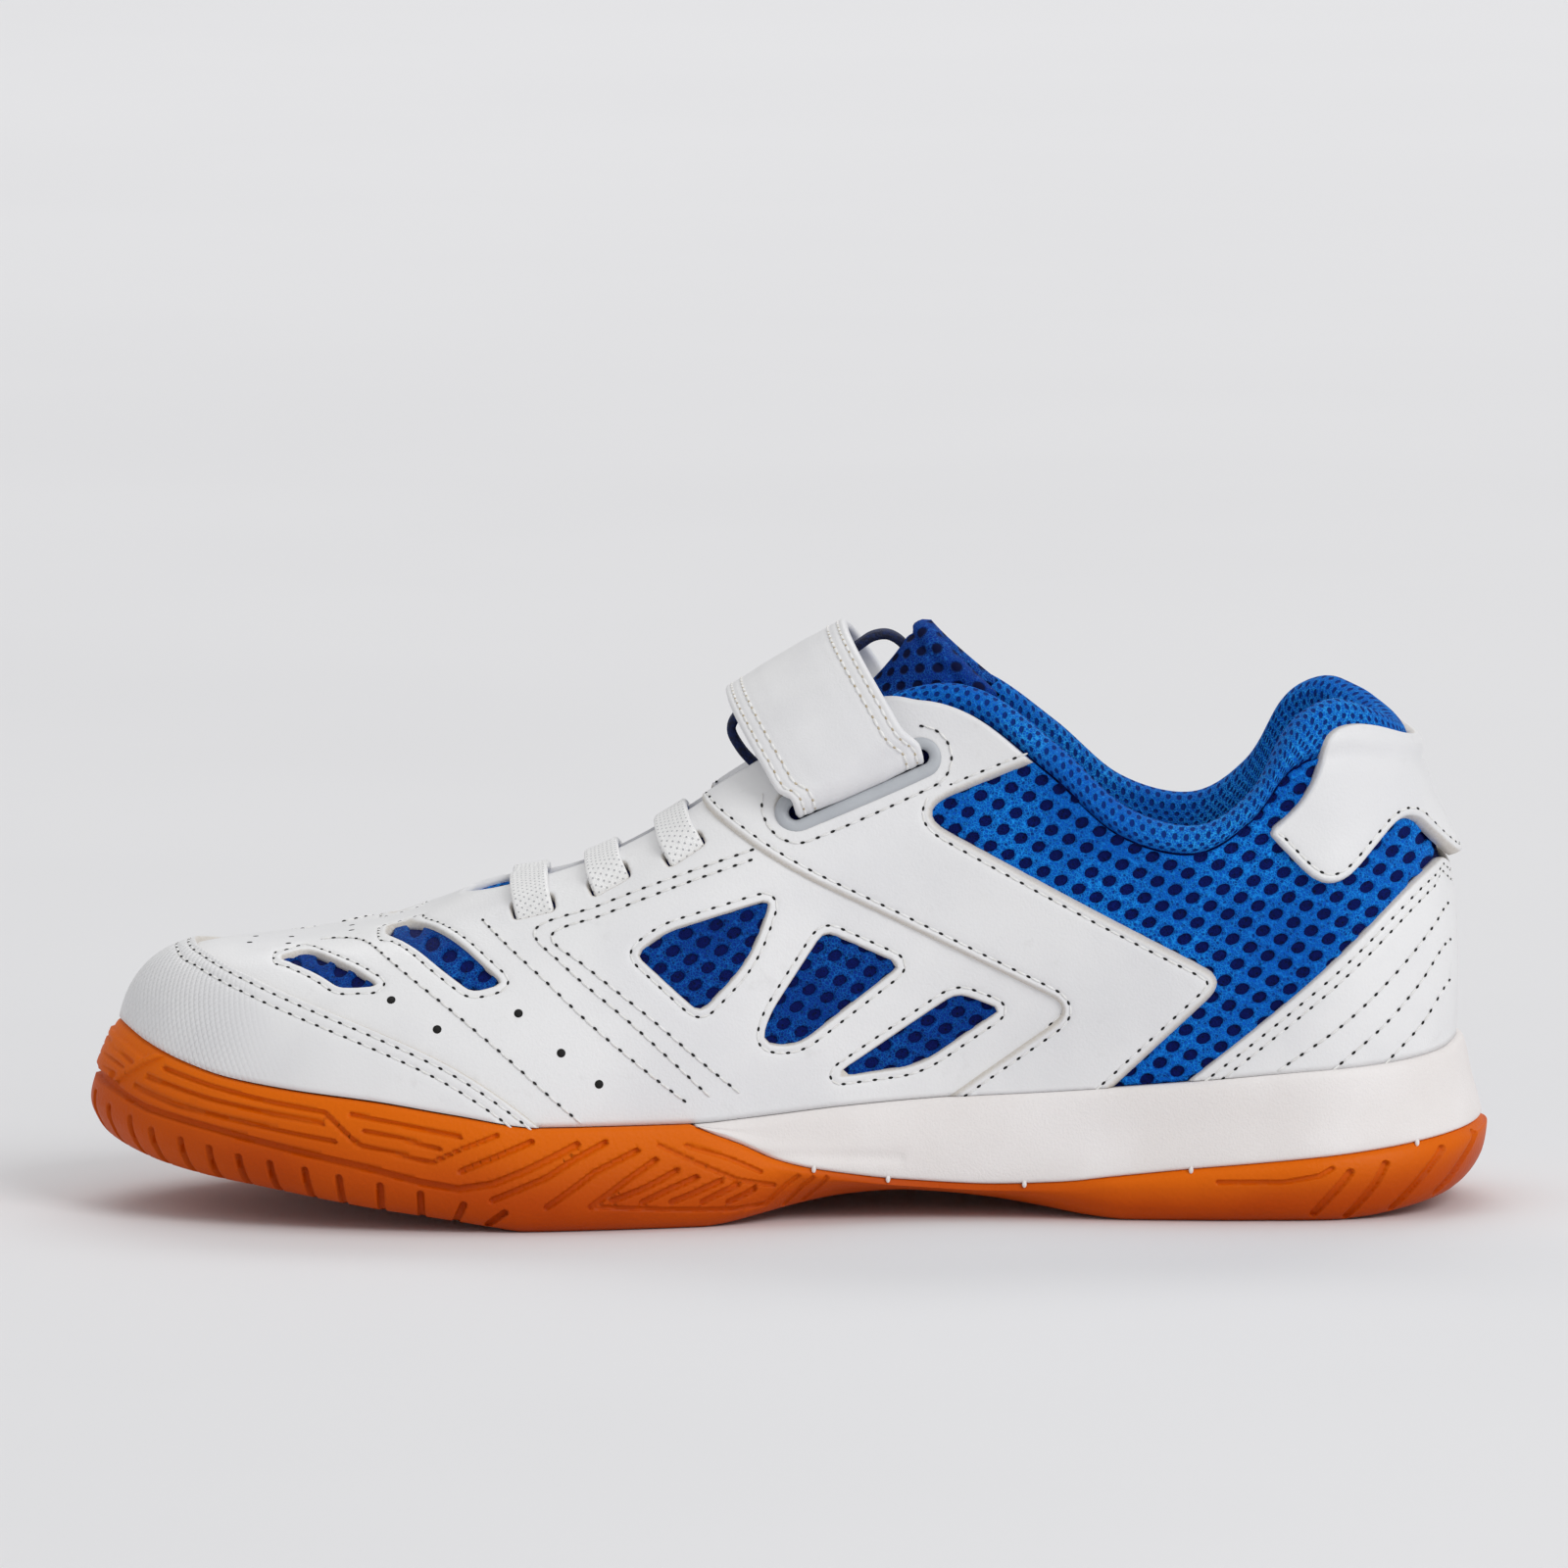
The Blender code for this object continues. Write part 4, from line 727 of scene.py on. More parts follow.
windows = [
    [(203.4, 42.2, 0.8), (198.4, 43.3, 3), (191, 41.5, 4), (186.8, 39.4, 0.6), (193, 38.9, 1.2), (197, 40.8, 3)],
    [(185.8, 45.8, 0.6), (179.2, 47.6, 4), (173.8, 46.4, 4), (166, 40.3, 1), (171, 39, 1.5), (175.1, 41.6, 2),
     (180.6, 45.1, 3)],
    [(143.6, 45.2, 1.2), (139, 48.6, 3), (121.4, 53.9, 1.8), (125, 44.2, 5), (133.2, 35.8, 1.8)],
    [(112.4, 48.6, 1.8), (99.6, 42.8, 1.6), (117, 29.8, 3), (122.8, 30.4, 2), (121.6, 34.8, 3)],
    [(110.6, 24.4, 1), (90, 38, 2.2), (82.8, 35.3, 1.2), (96.5, 26, 4)],
]
laces = [  # station, height, lean in degrees and climb of each elastic bar
    {"station": 160.7, "height": 51.2, "lean": 14, "climb": 2.2},
    {"station": 147.9, "height": 55.9, "lean": 28, "climb": 2.0},
    {"station": 135.4, "height": 61.3, "lean": 33, "climb": 2.8},
]


def laceHeight(lace, side):
    return lace["height"] - (instepDrop(lace["station"]) if side < 0 else 0.0)


def slotOutline(lace, side, length=7.2, height=1.8, bend=0.6):
    lean = math.radians(lace["lean"])
    along, upward = Vector((-math.cos(lean), math.sin(lean))), Vector((math.sin(lean), math.cos(lean)))
    middle = Vector((lace["station"], laceHeight(lace, side)))
    signs = ((1, 1), (-1, 1), (-1, -1), (1, -1))
    corners = [middle + along * a * length / 2 + upward * b * height / 2 for a, b in signs]
    return rounded([(corner.x, corner.y, bend) for corner in corners])


def moved(edge, distance):  # an edge moved sideways, to the left of its run
    points = [Vector(row[:2]) for row in edge]
    result = []
    for i, row in enumerate(edge):
        run = points[min(i + 1, len(edge) - 1)] - points[max(i - 1, 0)]
        left = Vector((-run.y, run.x)).normalized()
        result.append((*(points[i] + left * distance), row[2]))
    return result


capOutline = rounded(capEdge + [(156, 4, 0), (250, 4, 0), (250, 54, 0)])
saddleOutline = rounded(saddleFront + [(96, 4, 0), (68.5, 4, 0)] + saddleRear[::-1]
                        + [(64, 100, 0), (118, 100, 0)])
counterOutline = rounded(counterEdge + [(-9, 50.5, 0), (-9, 4, 0), (58, 4, 0)])
frontOutline = rounded(moved(capEdge, 5) + [(158, 4, 0), (90, 4, 0)] + moved(saddleFront, -5)[::-1]
                       + [(118, 100, 0), (225, 100, 0)])


def underRoll(turn):  # panels end at the collar's rolled edge
    return 1 - (1 - seamUp(turn)) * smoothStep(0.05, 0.5, roundLoop(foamLoop, turn))


strapShape = {
    "station": 106.5, "height": 72.4, "lean": 25.0, "width": 23.5, "thickness": 2.0, "clear": 4.15, "edge": 0.7,
    "start": [(-0.25, 1.0), (-0.1, 2.4), (0.5, 3.8), (1.9, 5.1)],
    "arch": [(25.4, 5.4), (24, 9.6), (20.2, 14.7), (13.6, 19), (5, 21), (-4.5, 20.9), (-14, 18.2), (-21.6, 12.4),
             (-25.4, 6.4)],
    "crown": 21.0, "twist": 5.5, "shift": 3.0, "fall": [0.5, -5, -10.5, -16], "rows": [3] * 3 + [8] * 12 + [10],
    "columns": 33, "sewn": [1.4, 3.5], "sewnFrom": 4, "sewnRow": 40, "threadLift": 0.05,
}
ringShape = {
    "half": 11.5, "bend": 2.45, "bends": 15, "wire": 0.95, "oval": 1.25, "lift": 0.9, "sides": 14, "sewn": 2.8,
    "sewnLift": 2.36, "sewnPart": (4, 28),
}


def leanAxes(degrees):
    lean = math.radians(degrees)
    return np.array([-math.cos(lean), 0, math.sin(lean)]), np.array([math.sin(lean), 0, math.cos(lean)])


def slotAxes():
    turn, up = findOnSkin([(strapShape["station"], strapShape["height"])], 1)
    outward = lastNormal(turn, up)[0]
    run = leanAxes(strapShape["lean"])[0]
    along = run - outward * np.dot(run, outward)
    along /= np.linalg.norm(along)
    return skinPoint(turn, up)[0], along, np.cross(outward, along), outward


def stadium(half, radius, count):
    bend = np.linspace(-math.pi / 2, math.pi / 2, count)
    right = [(half + radius * math.cos(a), radius * math.sin(a)) for a in bend]
    return np.array(right + [(-x, -y) for x, y in right])


def strapSlot():
    origin, along, upward, _ = slotAxes()
    path = stadium(ringShape["half"], ringShape["bend"], 9)
    return (origin + path[:, :1] * along + path[:, 1:] * upward)[:, [0, 2]]


frontShape = {
    "turns": (6.5, ribCount - 6.5), "ups": (None, 1.0), "keep": [frontOutline], "edge": 0.5, "lift": 1.35,
    "holes": [rounded(rows) for rows in windows], "clear": 7.0, "sewn": [1.5],
    "slots": {side: [slotOutline(lace, side) for lace in laces] for side in (1, -1)},
}
capShape = {
    "turns": (12.5, ribCount - 12.5), "ups": (None, 0.6), "keep": [capOutline], "edge": 0.45, "lift": 2.5,
    "sewn": [1.3, 3.0], "dimple": lambda points: smoothStep(196, 226, points[:, 0]),
}
saddleShape = {"ups": (None, underRoll), "keep": [saddleOutline], "edge": 1.0, "lift": 2.3, "sewn": [1.7]}
saddleInner = {**saddleShape, "turns": (ribCount - 12.5, ribCount - 4), "slots": {1: [strapSlot()]}}
saddleOuter = {**saddleShape, "turns": (4, 12.5)}
counterShape = {
    "turns": (-6.5, 6.5), "ups": (None, 0.72), "keep": [counterOutline], "edge": 0.6, "lift": 1.65,
    "sewn": [1.8, 3.3],
}


def tabFlare(spots, skin):  # the tab stands off at the bottom and hugs the rim at the top
    beside, height = np.abs(spots[:, 0]), skin[:, 2]
    low, middle, top = 1 - smoothStep(53, 69, height), 1 - smoothStep(0.9, 2.4, beside), smoothStep(74, 82, height)
    return 2.6 * low * middle - 0.9 * top


tabShape = {
    "turns": (-4.5, 4.5), "ups": (0.5, 0.985), "keep": [rounded(tabOutline)], "edge": 0.8, "lift": 2.35,
    "sewn": [1.5], "sewnWhere": lambda skin: skin[:, 2] < 64.9 + 0.25 * (36.6 - skin[:, 0]), "flare": tabFlare,
}

for name, shape, material, node in (
    ("front_overlay", frontShape, leather, "front_panel"),
    ("toe_cap_overlay", capShape, capLeather, "toe_cap"),
    ("saddle_inner_overlay", saddleInner, saddleLeather, "saddle_inner"),
    ("saddle_outer_overlay", saddleOuter, saddleLeather, "saddle_outer"),
    ("heel_counter_overlay", counterShape, leather, "heel_counter"),
    ("heel_tab_overlay", tabShape, leather, "heel_tab"),
):
    buildPanel(name, [shape], material, "white_leather", node)
print("panels cut,", len(stitchRows["panel"]), "sewn lines")


# spacer mesh: a face knit with oval holes over the dark core, where the panels leave it open

lattice = {
    "first": (2.95, 1.39), "second": (2.15, -2.78), "hole": (1.22, 0.88), "tilt": -22.0, "cell": 0.64, "lift": 0.55,
    "edge": 0.32, "under": 1.6, "quarterTurns": (0.7, 10.6),
}


def meshHoles(s, z):
    (ax, az), (bx, bz) = lattice["first"], lattice["second"]
    area = ax * bz - az * bx
    u, v = (s * bz - z * bx) / area, (ax * z - az * s) / area
    u, v = u - np.round(u), v - np.round(v)
    x, y = u * ax + v * bx, u * az + v * bz
    tilt = math.radians(lattice["tilt"])
    along = x * math.cos(tilt) + y * math.sin(tilt)
    across = y * math.cos(tilt) - x * math.sin(tilt)
    long, short = lattice["hole"]
    return (np.hypot(along / long, across / short) - 1) * short


def meshPatch(outline, side):
    turn, up = findOnSkin(outline, side)
    return {"turns": (turn.min() - 0.1, turn.max() + 0.1), "ups": (up.min() - 0.02, up.max() + 0.02),
            "keep": [outline], "pattern": meshHoles, **{key: lattice[key] for key in ("edge", "lift", "cell")}}


def grownOutline(rows, distance):
    outline = rounded(rows)
    return outline + unit(outline - outline.mean(0)) * distance


quarter = np.array([
    (66, 84), (100.5, 70), (50, 41), (72, 19), (54, 19), (28, 38), (10, 57), (10, 68), (20, 84),
], float)
panes, quarters = [], []
for side in (1, -1):
    panes += [meshPatch(grownOutline(rows, lattice["under"]), side) for rows in windows]
    back, ahead = lattice["quarterTurns"]
    reach = (back, ahead) if side < 0 else (ribCount - ahead, ribCount - back)
    quarters.append({**meshPatch(quarter, side), "ups": (None, underRoll), "turns": reach})
buildPanel("window_mesh", panes, shadedWindowMesh, "blue_mesh")
buildPanel("spacer_mesh", quarters, meshFace, "blue_mesh")
print("mesh knitted")


# the sole: rings round the bite line, smoothed up the side, with relief pressed into it

soleShape = {
    "columns": 1216, "across": 40, "floorAcross": 6, "widestAboveTread": 6.5, "edgeRounding": 0.9,
    "roundDepth": 4.1, "innerTuck": 1.4, "bevel": 0.2, "treadPitch": 6.4, "treadGroove": 1.1, "treadDepth": 1.1,
    "chevronWidth": 26, "chevronSlope": 0.55, "circle": (163, 4), "circleEdge": (17, 17.6, 18.2),
    "circlePitch": 5.6, "treadInset": 9, "treadEdge": 3.4, "sideRows": (3, 5, 11, 16, 3),
}
dishHeight = curveThrough([
    (0, 10), (8, 7.4), (14, 5.8), (28, 4.3), (60, 4.1), (76, 4.4), (90, 5), (100, 5.6), (117, 6.2), (135, 6.7),
])
soleTurns = np.arange(soleShape["columns"]) * ribCount / soleShape["columns"]
soleBite, soleOut = biteLine(soleTurns)
soleBiteUp = biteUp(soleTurns)
soleStation = soleBite[:, 0]
isInner = soleTurns > toeRib
steps = np.linalg.norm((np.roll(soleBite, -1, axis=0) - soleBite)[:, :2], axis=1)
soleArc = running(steps)[:-1]


def soleTop(station):
    return np.where(station < gumTip, gumHeight(station), biteHeight(station))


def sideOffset(station, height):
    widest = treadHeight(station) + soleShape["widestAboveTread"]
    share = np.clip((height - widest) / (biteHeight(station) - widest), 0, 1)
    below = np.clip((widest - height) / soleShape["roundDepth"], 0, 1.5)
    return last["fitGap"] + last["soleRim"] + sideFlare(station) * (1 - share) - soleShape["edgeRounding"] * below


def soleRing(offset, heightLine):
    ring = soleBite + soleOut * np.broadcast_to(offset, soleStation.shape)[:, None]
    ring[:, 2] = heightLine(ring[:, 0])
    return ring


def wallRing(share, height=None):
    ring = lastPoint(soleTurns, share * soleBiteUp) + soleOut * last["fitGap"]
    if height is not None:
        ring[:, 2] = height(ring[:, 0])
    return ring


def smoothRows(rows, counts):  # more rows between given ones, along a curve through them
    rows = np.asarray(rows, float)
    gaps = np.linalg.norm(np.diff(rows, axis=0), axis=-1).reshape(len(rows) - 1, -1).mean(1)
    gaps = np.maximum(gaps, 1e-3)
    knots = running(np.sqrt(gaps))
    slopes = np.gradient(rows, knots, axis=0)
    result = []
    for i, count in enumerate(counts):
        width = knots[i + 1] - knots[i]
        for t in np.arange(count) / count:
            result.append((1 + 2 * t) * (1 - t) ** 2 * rows[i] + t * (1 - t) ** 2 * width * slopes[i]
                          + t * t * (3 - 2 * t) * rows[i + 1] + t * t * (t - 1) * width * slopes[i + 1])
    return np.array(result + [rows[-1]])


# relief of the side, mirrored onto both sides, as runs of (rib from the heel, height)
sideRelief = [  # half width, depth (a ridge is below zero), runs
    (0.7, 1.0, [
        [(19, 22.5), (18.5, 21.3), (17.78, 18.6), (16.91, 16.6), (15.94, 13.8), (15.03, 11.1), (14.41, 8.8),
         (14, 7.8), (13.59, 8.6), (13.19, 10.6), (12.85, 12.6), (12.47, 14.8)],
    ]),
    (0.52, 0.8, [
        [(17.69, 25.2), (17, 23.2), (16.19, 21.2), (15.56, 20), (15.19, 15.4), (15.09, 14.7), (14.69, 13.5),
         (14.31, 12.1), (13.97, 14.3), (13.53, 16.5)],
        [(17.91, 23.6), (16.97, 21.1), (16.19, 19.4), (15.56, 18.2)],
        [(18.06, 21.8), (17.38, 19.7), (16.53, 17.9), (15.41, 15.3)],
        [(15.25, 19.8), (14.72, 18.4), (13.97, 16.3)], [(15.09, 17.2), (14.69, 16.1), (14.22, 14.3)],
    ]),
    (0.62, 1.0, [
        [(13.97, 10.7), (13.09, 15.4)], [(13.59, 5.9), (12.91, 9.5), (12.5, 12.5), (12.09, 15)],
        [(12.91, 4.6), (12.66, 6.7), (12.25, 10.2), (11.72, 13.6)], [(12.31, 4.5), (11.88, 8.5), (11.53, 12)],
        [(12.03, 5.4), (11.66, 7.4), (11.31, 10.1)], [(11.69, 5), (11.41, 7), (11.09, 8.9)],
        [(11.38, 4.9), (11.16, 6.1), (10.78, 8.1)], [(11.03, 4.7), (10.81, 6), (10.5, 7.4)],
        [(10.66, 4.5), (10.41, 5.5), (10.19, 6.5)],
    ]),
    (0.5, 0.55, [
        [(12.31, 4.5), (11.38, 3.6), (10.53, 3.2), (10, 3.7)],
        [(11.5, 14.4), (11, 10.7), (10.53, 8.2), (9.88, 6.9)], [(11.2, 14.1), (10.72, 12.1), (10.09, 9.3)],
        [(9.97, 3.9), (9.72, 7), (9.59, 8.4)], [(9.69, 3.2), (9.53, 6.4), (9.41, 8)],
        [(9.44, 3.9), (9.34, 5.8), (9.25, 7.9)],
    ]),
    (0.68, 1.5, [
        [(18.75, 19.1), (18.71, 11)], [(18.4, 17.6), (18.38, 10)], [(18, 16.5), (17.97, 8.6)],
        [(17.66, 15.1), (17.6, 7.6)], [(17.25, 14.1), (17.2, 6.4)], [(16.88, 13.2), (16.84, 5.6)],
        [(16.53, 12.1), (16.48, 4.8)], [(16.16, 11.3), (16.1, 4)], [(15.75, 10.5), (15.7, 3.2)],
        [(15.36, 9.4), (15.34, 2.6)], [(14.89, 8.2), (14.9, 1.9)], [(14.44, 6.9), (14.44, 1.5)],
        [(13.94, 5.1), (14.05, 1.6)], [(13.44, 3.7), (13.64, 1.6)],
    ]),
    (0.5, 0.7, [
        [(4.52, 7), (3.62, 7), (3.24, 8), (3.1, 9.2)],
    ]),
    (0.7, 1.0, [
        [(3.29, 1.5), (3.05, 5.8), (2.9, 8.5)], [(2.9, 1), (2.62, 6.2), (2.48, 9.6)],
        [(2.33, 2), (1.95, 7.8), (1.67, 11.3)], [(1.67, 4), (1.29, 8.7), (0.9, 12.7)],
    ]),
    (0.65, -0.55, [
        [(18.38, 22.3), (18.03, 26), (17.72, 28)], [(19, 29.2), (18.41, 27.5), (18.12, 26.1)],
        [(19, 27.5), (18.47, 26), (18.24, 24.7)], [(19, 25.8), (18.5, 24.4), (18.33, 23.6)],
        [(19, 24.2), (18.5, 22.8)],
    ]),
]


def runDistance(run, arc, height, side):
    points = [(np.interp(onSide(rib, side), soleTurns, soleArc), z) for rib, z in run]
    best = np.full(arc.shape, 1e9)
    for (ax, az), (bx, bz) in zip(points, points[1:]):
        dx, dz = bx - ax, bz - az
        t = np.clip(((arc - ax) * dx + (height - az) * dz) / (dx * dx + dz * dz), 0, 1)
        best = np.minimum(best, np.hypot(arc - ax - t * dx, height - az - t * dz))
    return best


def reliefField(arc, height):  # distance to the nearest groove or ridge, below zero inside, and its depth
    field, deep = np.full(arc.shape, 9.0), np.zeros(arc.shape)
    for half, depth, runs in sideRelief:
        for run in runs:
            for side in (1, -1):
                away = runDistance(run, arc, height, side) - half
                deep = np.where(away < field, depth, deep)
                field = np.minimum(field, away)
    return field, deep


def readGrid(values, spots):  # a grid read between its points
    low = np.clip(np.floor(spots).astype(int), 0, np.array(values.shape[:2]) - 2)
    r, c = low.T
    tr, tc = ((spots - low).T).reshape(2, len(spots), *[1] * (values.ndim - 2))
    return ((1 - tr) * ((1 - tc) * values[r, c] + tc * values[r, c + 1])
            + tr * ((1 - tc) * values[r + 1, c] + tc * values[r + 1, c + 1]))


def rungFaces(ring, interior, across, half):  # faces across a ring, whose inner points start at `interior`
    rows = [[ring[0]]]
    for k in range(1, half):
        start = interior + (k - 1) * across
        rows.append([ring[k], *range(start, start + across), ring[2 * half - k]])
    rows.append([ring[half]])
    faces = []
    for before, after in zip(rows, rows[1:]):
        wide = max(len(before), len(after))
        for c in range(wide - 1):
            quad = [before[min(c, len(before) - 1)], after[min(c, len(after) - 1)],
                    after[min(c + 1, len(after) - 1)], before[min(c + 1, len(before) - 1)]]
            faces.append(list(dict.fromkeys(quad)))
    return faces


def rungPoints(ring, across, half):
    share = np.arange(1, across + 1)[None, :, None] / (across + 1)
    first, second = ring[1:half], ring[:half:-1]
    return first[:, None] + (second - first)[:, None] * share


def treadRelief(points):  # chevron lugs with a turning circle under the ball
    s, y = points[..., 0], points[..., 1]
    pitch, half, width = (soleShape[key] for key in ("treadPitch", "treadGroove", "chevronWidth"))
    chevron = s + soleShape["chevronSlope"] * np.abs(((y + 40) % width) - width / 2)
    wave = np.abs((chevron / pitch) % 1 - 0.5) * pitch
    groove = 1 - smoothStep(0.5 * half, 1.2 * half, pitch / 2 - wave)
    (middle, side), (edge, rim, outside) = soleShape["circle"], soleShape["circleEdge"]
    circle, ringPitch = np.hypot(s - middle, y - side), soleShape["circlePitch"]
    groove = np.where(circle < edge, 0, groove)
    rings = 1 - smoothStep(0.5, 1.2, np.abs((circle % ringPitch) - ringPitch / 2))
    rings = np.maximum(rings, 1 - smoothStep(0.5, 1.2, np.abs(circle - rim)))
    groove = np.where(circle < outside, rings, groove)
    across = points.shape[1]
    share = np.arange(1, across + 1) / (across + 1)
    width = np.linalg.norm(points[:, 0] - points[:, -1], axis=-1)[:, None]
    margin = np.minimum(share, 1 - share)[None] * width
    ends = np.minimum(np.arange(len(points)), np.arange(len(points))[::-1])[:, None]
    waist = smoothStep(64, 74, s) * (1 - smoothStep(118, 128, s))
    kept = smoothStep(1.5, 3.0, margin) * smoothStep(6, 14, ends) * (1 - waist)
    return soleShape["treadDepth"] * groove * kept


def buildOutsole():
    station, half = soleStation, len(soleTurns) // 2
    widest = last["fitGap"] + last["soleRim"] + sideFlare(station)
    tuck = waistTuck(station) * np.where(isInner, soleShape["innerTuck"], 1.0)
    top = soleTop(station)
    rubber = top - treadHeight(station)
    topOffset = sideOffset(station, top)
    lower = np.minimum(2.4, 0.35 * rubber)
    middle = np.minimum(soleShape["widestAboveTread"], 0.62 * rubber)
    rings = [
        soleRing(widest - soleShape["treadInset"] - tuck, treadHeight),
        soleRing(widest - soleShape["treadEdge"] - tuck, lambda s: treadHeight(s) + 0.1),
        soleRing(widest - soleShape["edgeRounding"] - 0.6 * tuck, lambda s: treadHeight(s) + lower),
        soleRing(widest - 0.25 * tuck, lambda s: treadHeight(s) + middle),
        soleRing(sideOffset(station, top - 0.8), lambda s: top - 0.7),
        soleRing(topOffset - 0.5, lambda s: top),
    ]
    side = smoothRows(rings, soleShape["sideRows"])
    count, bevel = len(soleTurns), soleShape["bevel"]
    closed = np.concatenate([side, side[:, :1]], axis=1)
    arc = np.broadcast_to(np.append(soleArc, soleArc[-1] + steps[-1]), closed.shape[:2])
    field, deep = reliefField(arc, closed[..., 2])
    plain = [0, 1, -2, -1]
    field[plain] = np.maximum(field[plain], 0.3)
    rowAt, columnAt = np.meshgrid(np.arange(float(len(side))), np.arange(count + 1.0), indexing="ij")
    spots, value, cells = cutSheet(rowAt, columnAt, field, [-99.0, -bevel, 0.0])
    outward = np.broadcast_to(np.concatenate([soleOut, soleOut[:1]]), closed.shape)
    depth = readGrid(deep, spots) * np.clip(-value / bevel, 0, 1)
    sheet = readGrid(closed, spots) - readGrid(outward, spots) * depth[:, None]
    ids = (np.arange(len(side))[:, None] * count + np.arange(count + 1) % count).ravel()
    onGrid = sheet[:len(ids)].reshape(closed.shape)[:, :count]
    underFoam = (station < gumTip)[:, None]
    inner = np.maximum(topOffset - last["soleRim"], last["foamLip"])
    rim, dish = soleRing(inner, lambda s: top), soleRing(inner - 0.6, lambda s: dishHeight(station))
    inside = [np.where(underFoam, rim, wallRing(1, biteHeight)),
              np.where(underFoam, (rim + dish) / 2, wallRing(0.5)),
              np.where(underFoam, dish, wallRing(0, floorHeight))]
    grid = np.concatenate([onGrid, np.array(inside)])
    extra = sheet[len(ids):]
    ids = np.concatenate([ids, np.arange(len(extra)) + grid.shape[0] * count])
    faces = [[int(ids[k]) for k in cell[::-1]] for cell in cells]
    start = (len(side) - 1) * count
    insideFaces = gridFaces(len(inside) + 1, count, closeColumns=True)
    faces += [[k + start for k in face[::-1]] for face in insideFaces]
    treadPoints = rungPoints(grid[0], soleShape["across"], half)
    treadPoints[..., 2] = treadHeight(treadPoints[..., 0]) + treadRelief(treadPoints)
    floorPoints = rungPoints(grid[-1], soleShape["floorAcross"], half)
    verts = np.concatenate([grid.reshape(-1, 3), extra, treadPoints.reshape(-1, 3), floorPoints.reshape(-1, 3)])
    start = len(grid) * count + len(extra)
    faces += [face[::-1] for face in rungFaces(list(range(count)), start, soleShape["across"], half)]
    lastRing = list(range((len(grid) - 1) * count, len(grid) * count))
    faces += rungFaces(lastRing, start + (half - 1) * soleShape["across"], soleShape["floorAcross"], half)
    base = treadHeight(verts[:, 0])
    # share: height up the side, read by the gum finish to paint the lit glow lighter towards the top
    share = np.clip((verts[:, 2] - base) / np.maximum(soleTop(verts[:, 0]) - base, 9), 0, 1)
    addPiece("gum_outsole", toFrame(verts), faces, gumRubber, "gum_rubber", "outsole", attributes={"share": share})


foamCrease = {"run": [(10.55, 12.6), (10.0, 12.0), (9.2, 11.4), (8.4, 10.9)], "depth": 0.4, "width": 0.9}


def buildMidsole():
    station, half = soleStation, len(soleTurns) // 2
    tip = int(np.flatnonzero(soleStation[:half] < gumTip - 0.4)[-1])
    rim = np.maximum(sideOffset(station, gumHeight(station)) - last["soleRim"], last["foamLip"]) - last["fitGap"]
    bite = biteHeight(station)
    seat = np.minimum(gumHeight(station) + 0.1, bite - 0.35)
    bulge = (seat + bite) / 2
    shoulder = np.maximum(bite - 0.8, (bulge + bite) / 2)
    rings = [
        soleRing(sideOffset(station, seat) - 0.5, lambda s: seat),
        soleRing(sideOffset(station, seat) + 0.05, lambda s: seat + np.minimum(0.5, 0.2 * (bite - seat))),
        soleRing(sideOffset(station, bulge), lambda s: bulge),
        soleRing(sideOffset(station, shoulder), lambda s: shoulder),
        soleRing(last["fitGap"] + last["soleRim"] - 0.5, lambda s: bite),
    ]
    side = smoothRows(rings, (3, 10, 8, 4))
    arc = np.broadcast_to(soleArc, side.shape[:2])
    for sign in (1, -1):
        away = runDistance(foamCrease["run"], arc, side[..., 2], sign)
        side -= soleOut * (foamCrease["depth"] * bell(away, foamCrease["width"]))[..., None]
    hidden = [soleRing(rim - 0.6, lambda s: dishHeight(station) + last["fitGap"]),
              soleRing(rim, lambda s: seat)]
    inside = [wallRing(1, biteHeight), wallRing(0.5), wallRing(0, floorHeight)]
    columns = np.arange(-tip, tip + 1)
    grid = np.concatenate([np.array(hidden), side, np.array(inside)])[:, columns]
    rows, count = grid.shape[:2]
    faces = [face[::-1] for face in gridFaces(rows, count)]
    verts = grid.reshape(-1, 3)
    for row, turned in ((0, True), (rows - 1, False)):
        base = row * count
        for k in range(tip):
            quad = [base + k, base + k + 1, base + count - 2 - k, base + count - 1 - k]
            quad = list(dict.fromkeys(quad))
            faces.append(quad if turned else quad[::-1])
    faces.append([r * count for r in range(rows)] + [r * count + count - 1 for r in reversed(range(rows))])
    addPiece("foam_midsole", toFrame(verts), faces, foam, "white_foam", "midsole")


insoleShape = {"gap": 0.6, "rings": [(0, 0), (0, 2.6), (0.3, 3.3), (1.1, 3.5)], "under": 6, "over": 24, "dish": 0.5}


def buildInsole():
    count, half = len(soleTurns), len(soleTurns) // 2
    under, over = insoleShape["under"], insoleShape["over"]
    edge = lastPoint(soleTurns, np.zeros(count)) - soleOut * (last["meshWall"] + insoleShape["gap"])
    grid = np.array([edge - soleOut * inset + (0, 0, height) for inset, height in insoleShape["rings"]])
    faces = [face[::-1] for face in gridFaces(len(grid), count, closeColumns=True)]
    low, high = rungPoints(grid[0], under, half), rungPoints(grid[-1], over, half)
    share = np.arange(1, over + 1) / (over + 1)
    high[..., 2] -= insoleShape["dish"] * np.sin(math.pi * share) ** 0.7
    verts = np.concatenate([grid.reshape(-1, 3), low.reshape(-1, 3), high.reshape(-1, 3)])
    start = len(grid) * count
    faces += [face[::-1] for face in rungFaces(list(range(count)), start, under, half)]
    faces += rungFaces(list(range(start - count, start)), start + (half - 1) * under, over, half)
    piece = addPiece("cloth_insole", toFrame(verts), faces, footbed, "footbed_foam", "insole")


buildOutsole()
buildMidsole()
buildInsole()
print("sole moulded")


# trim: strap and its ring, elastic bars, tongue and keeper loop

threeAcross = (-0.5, 0, 0.5)


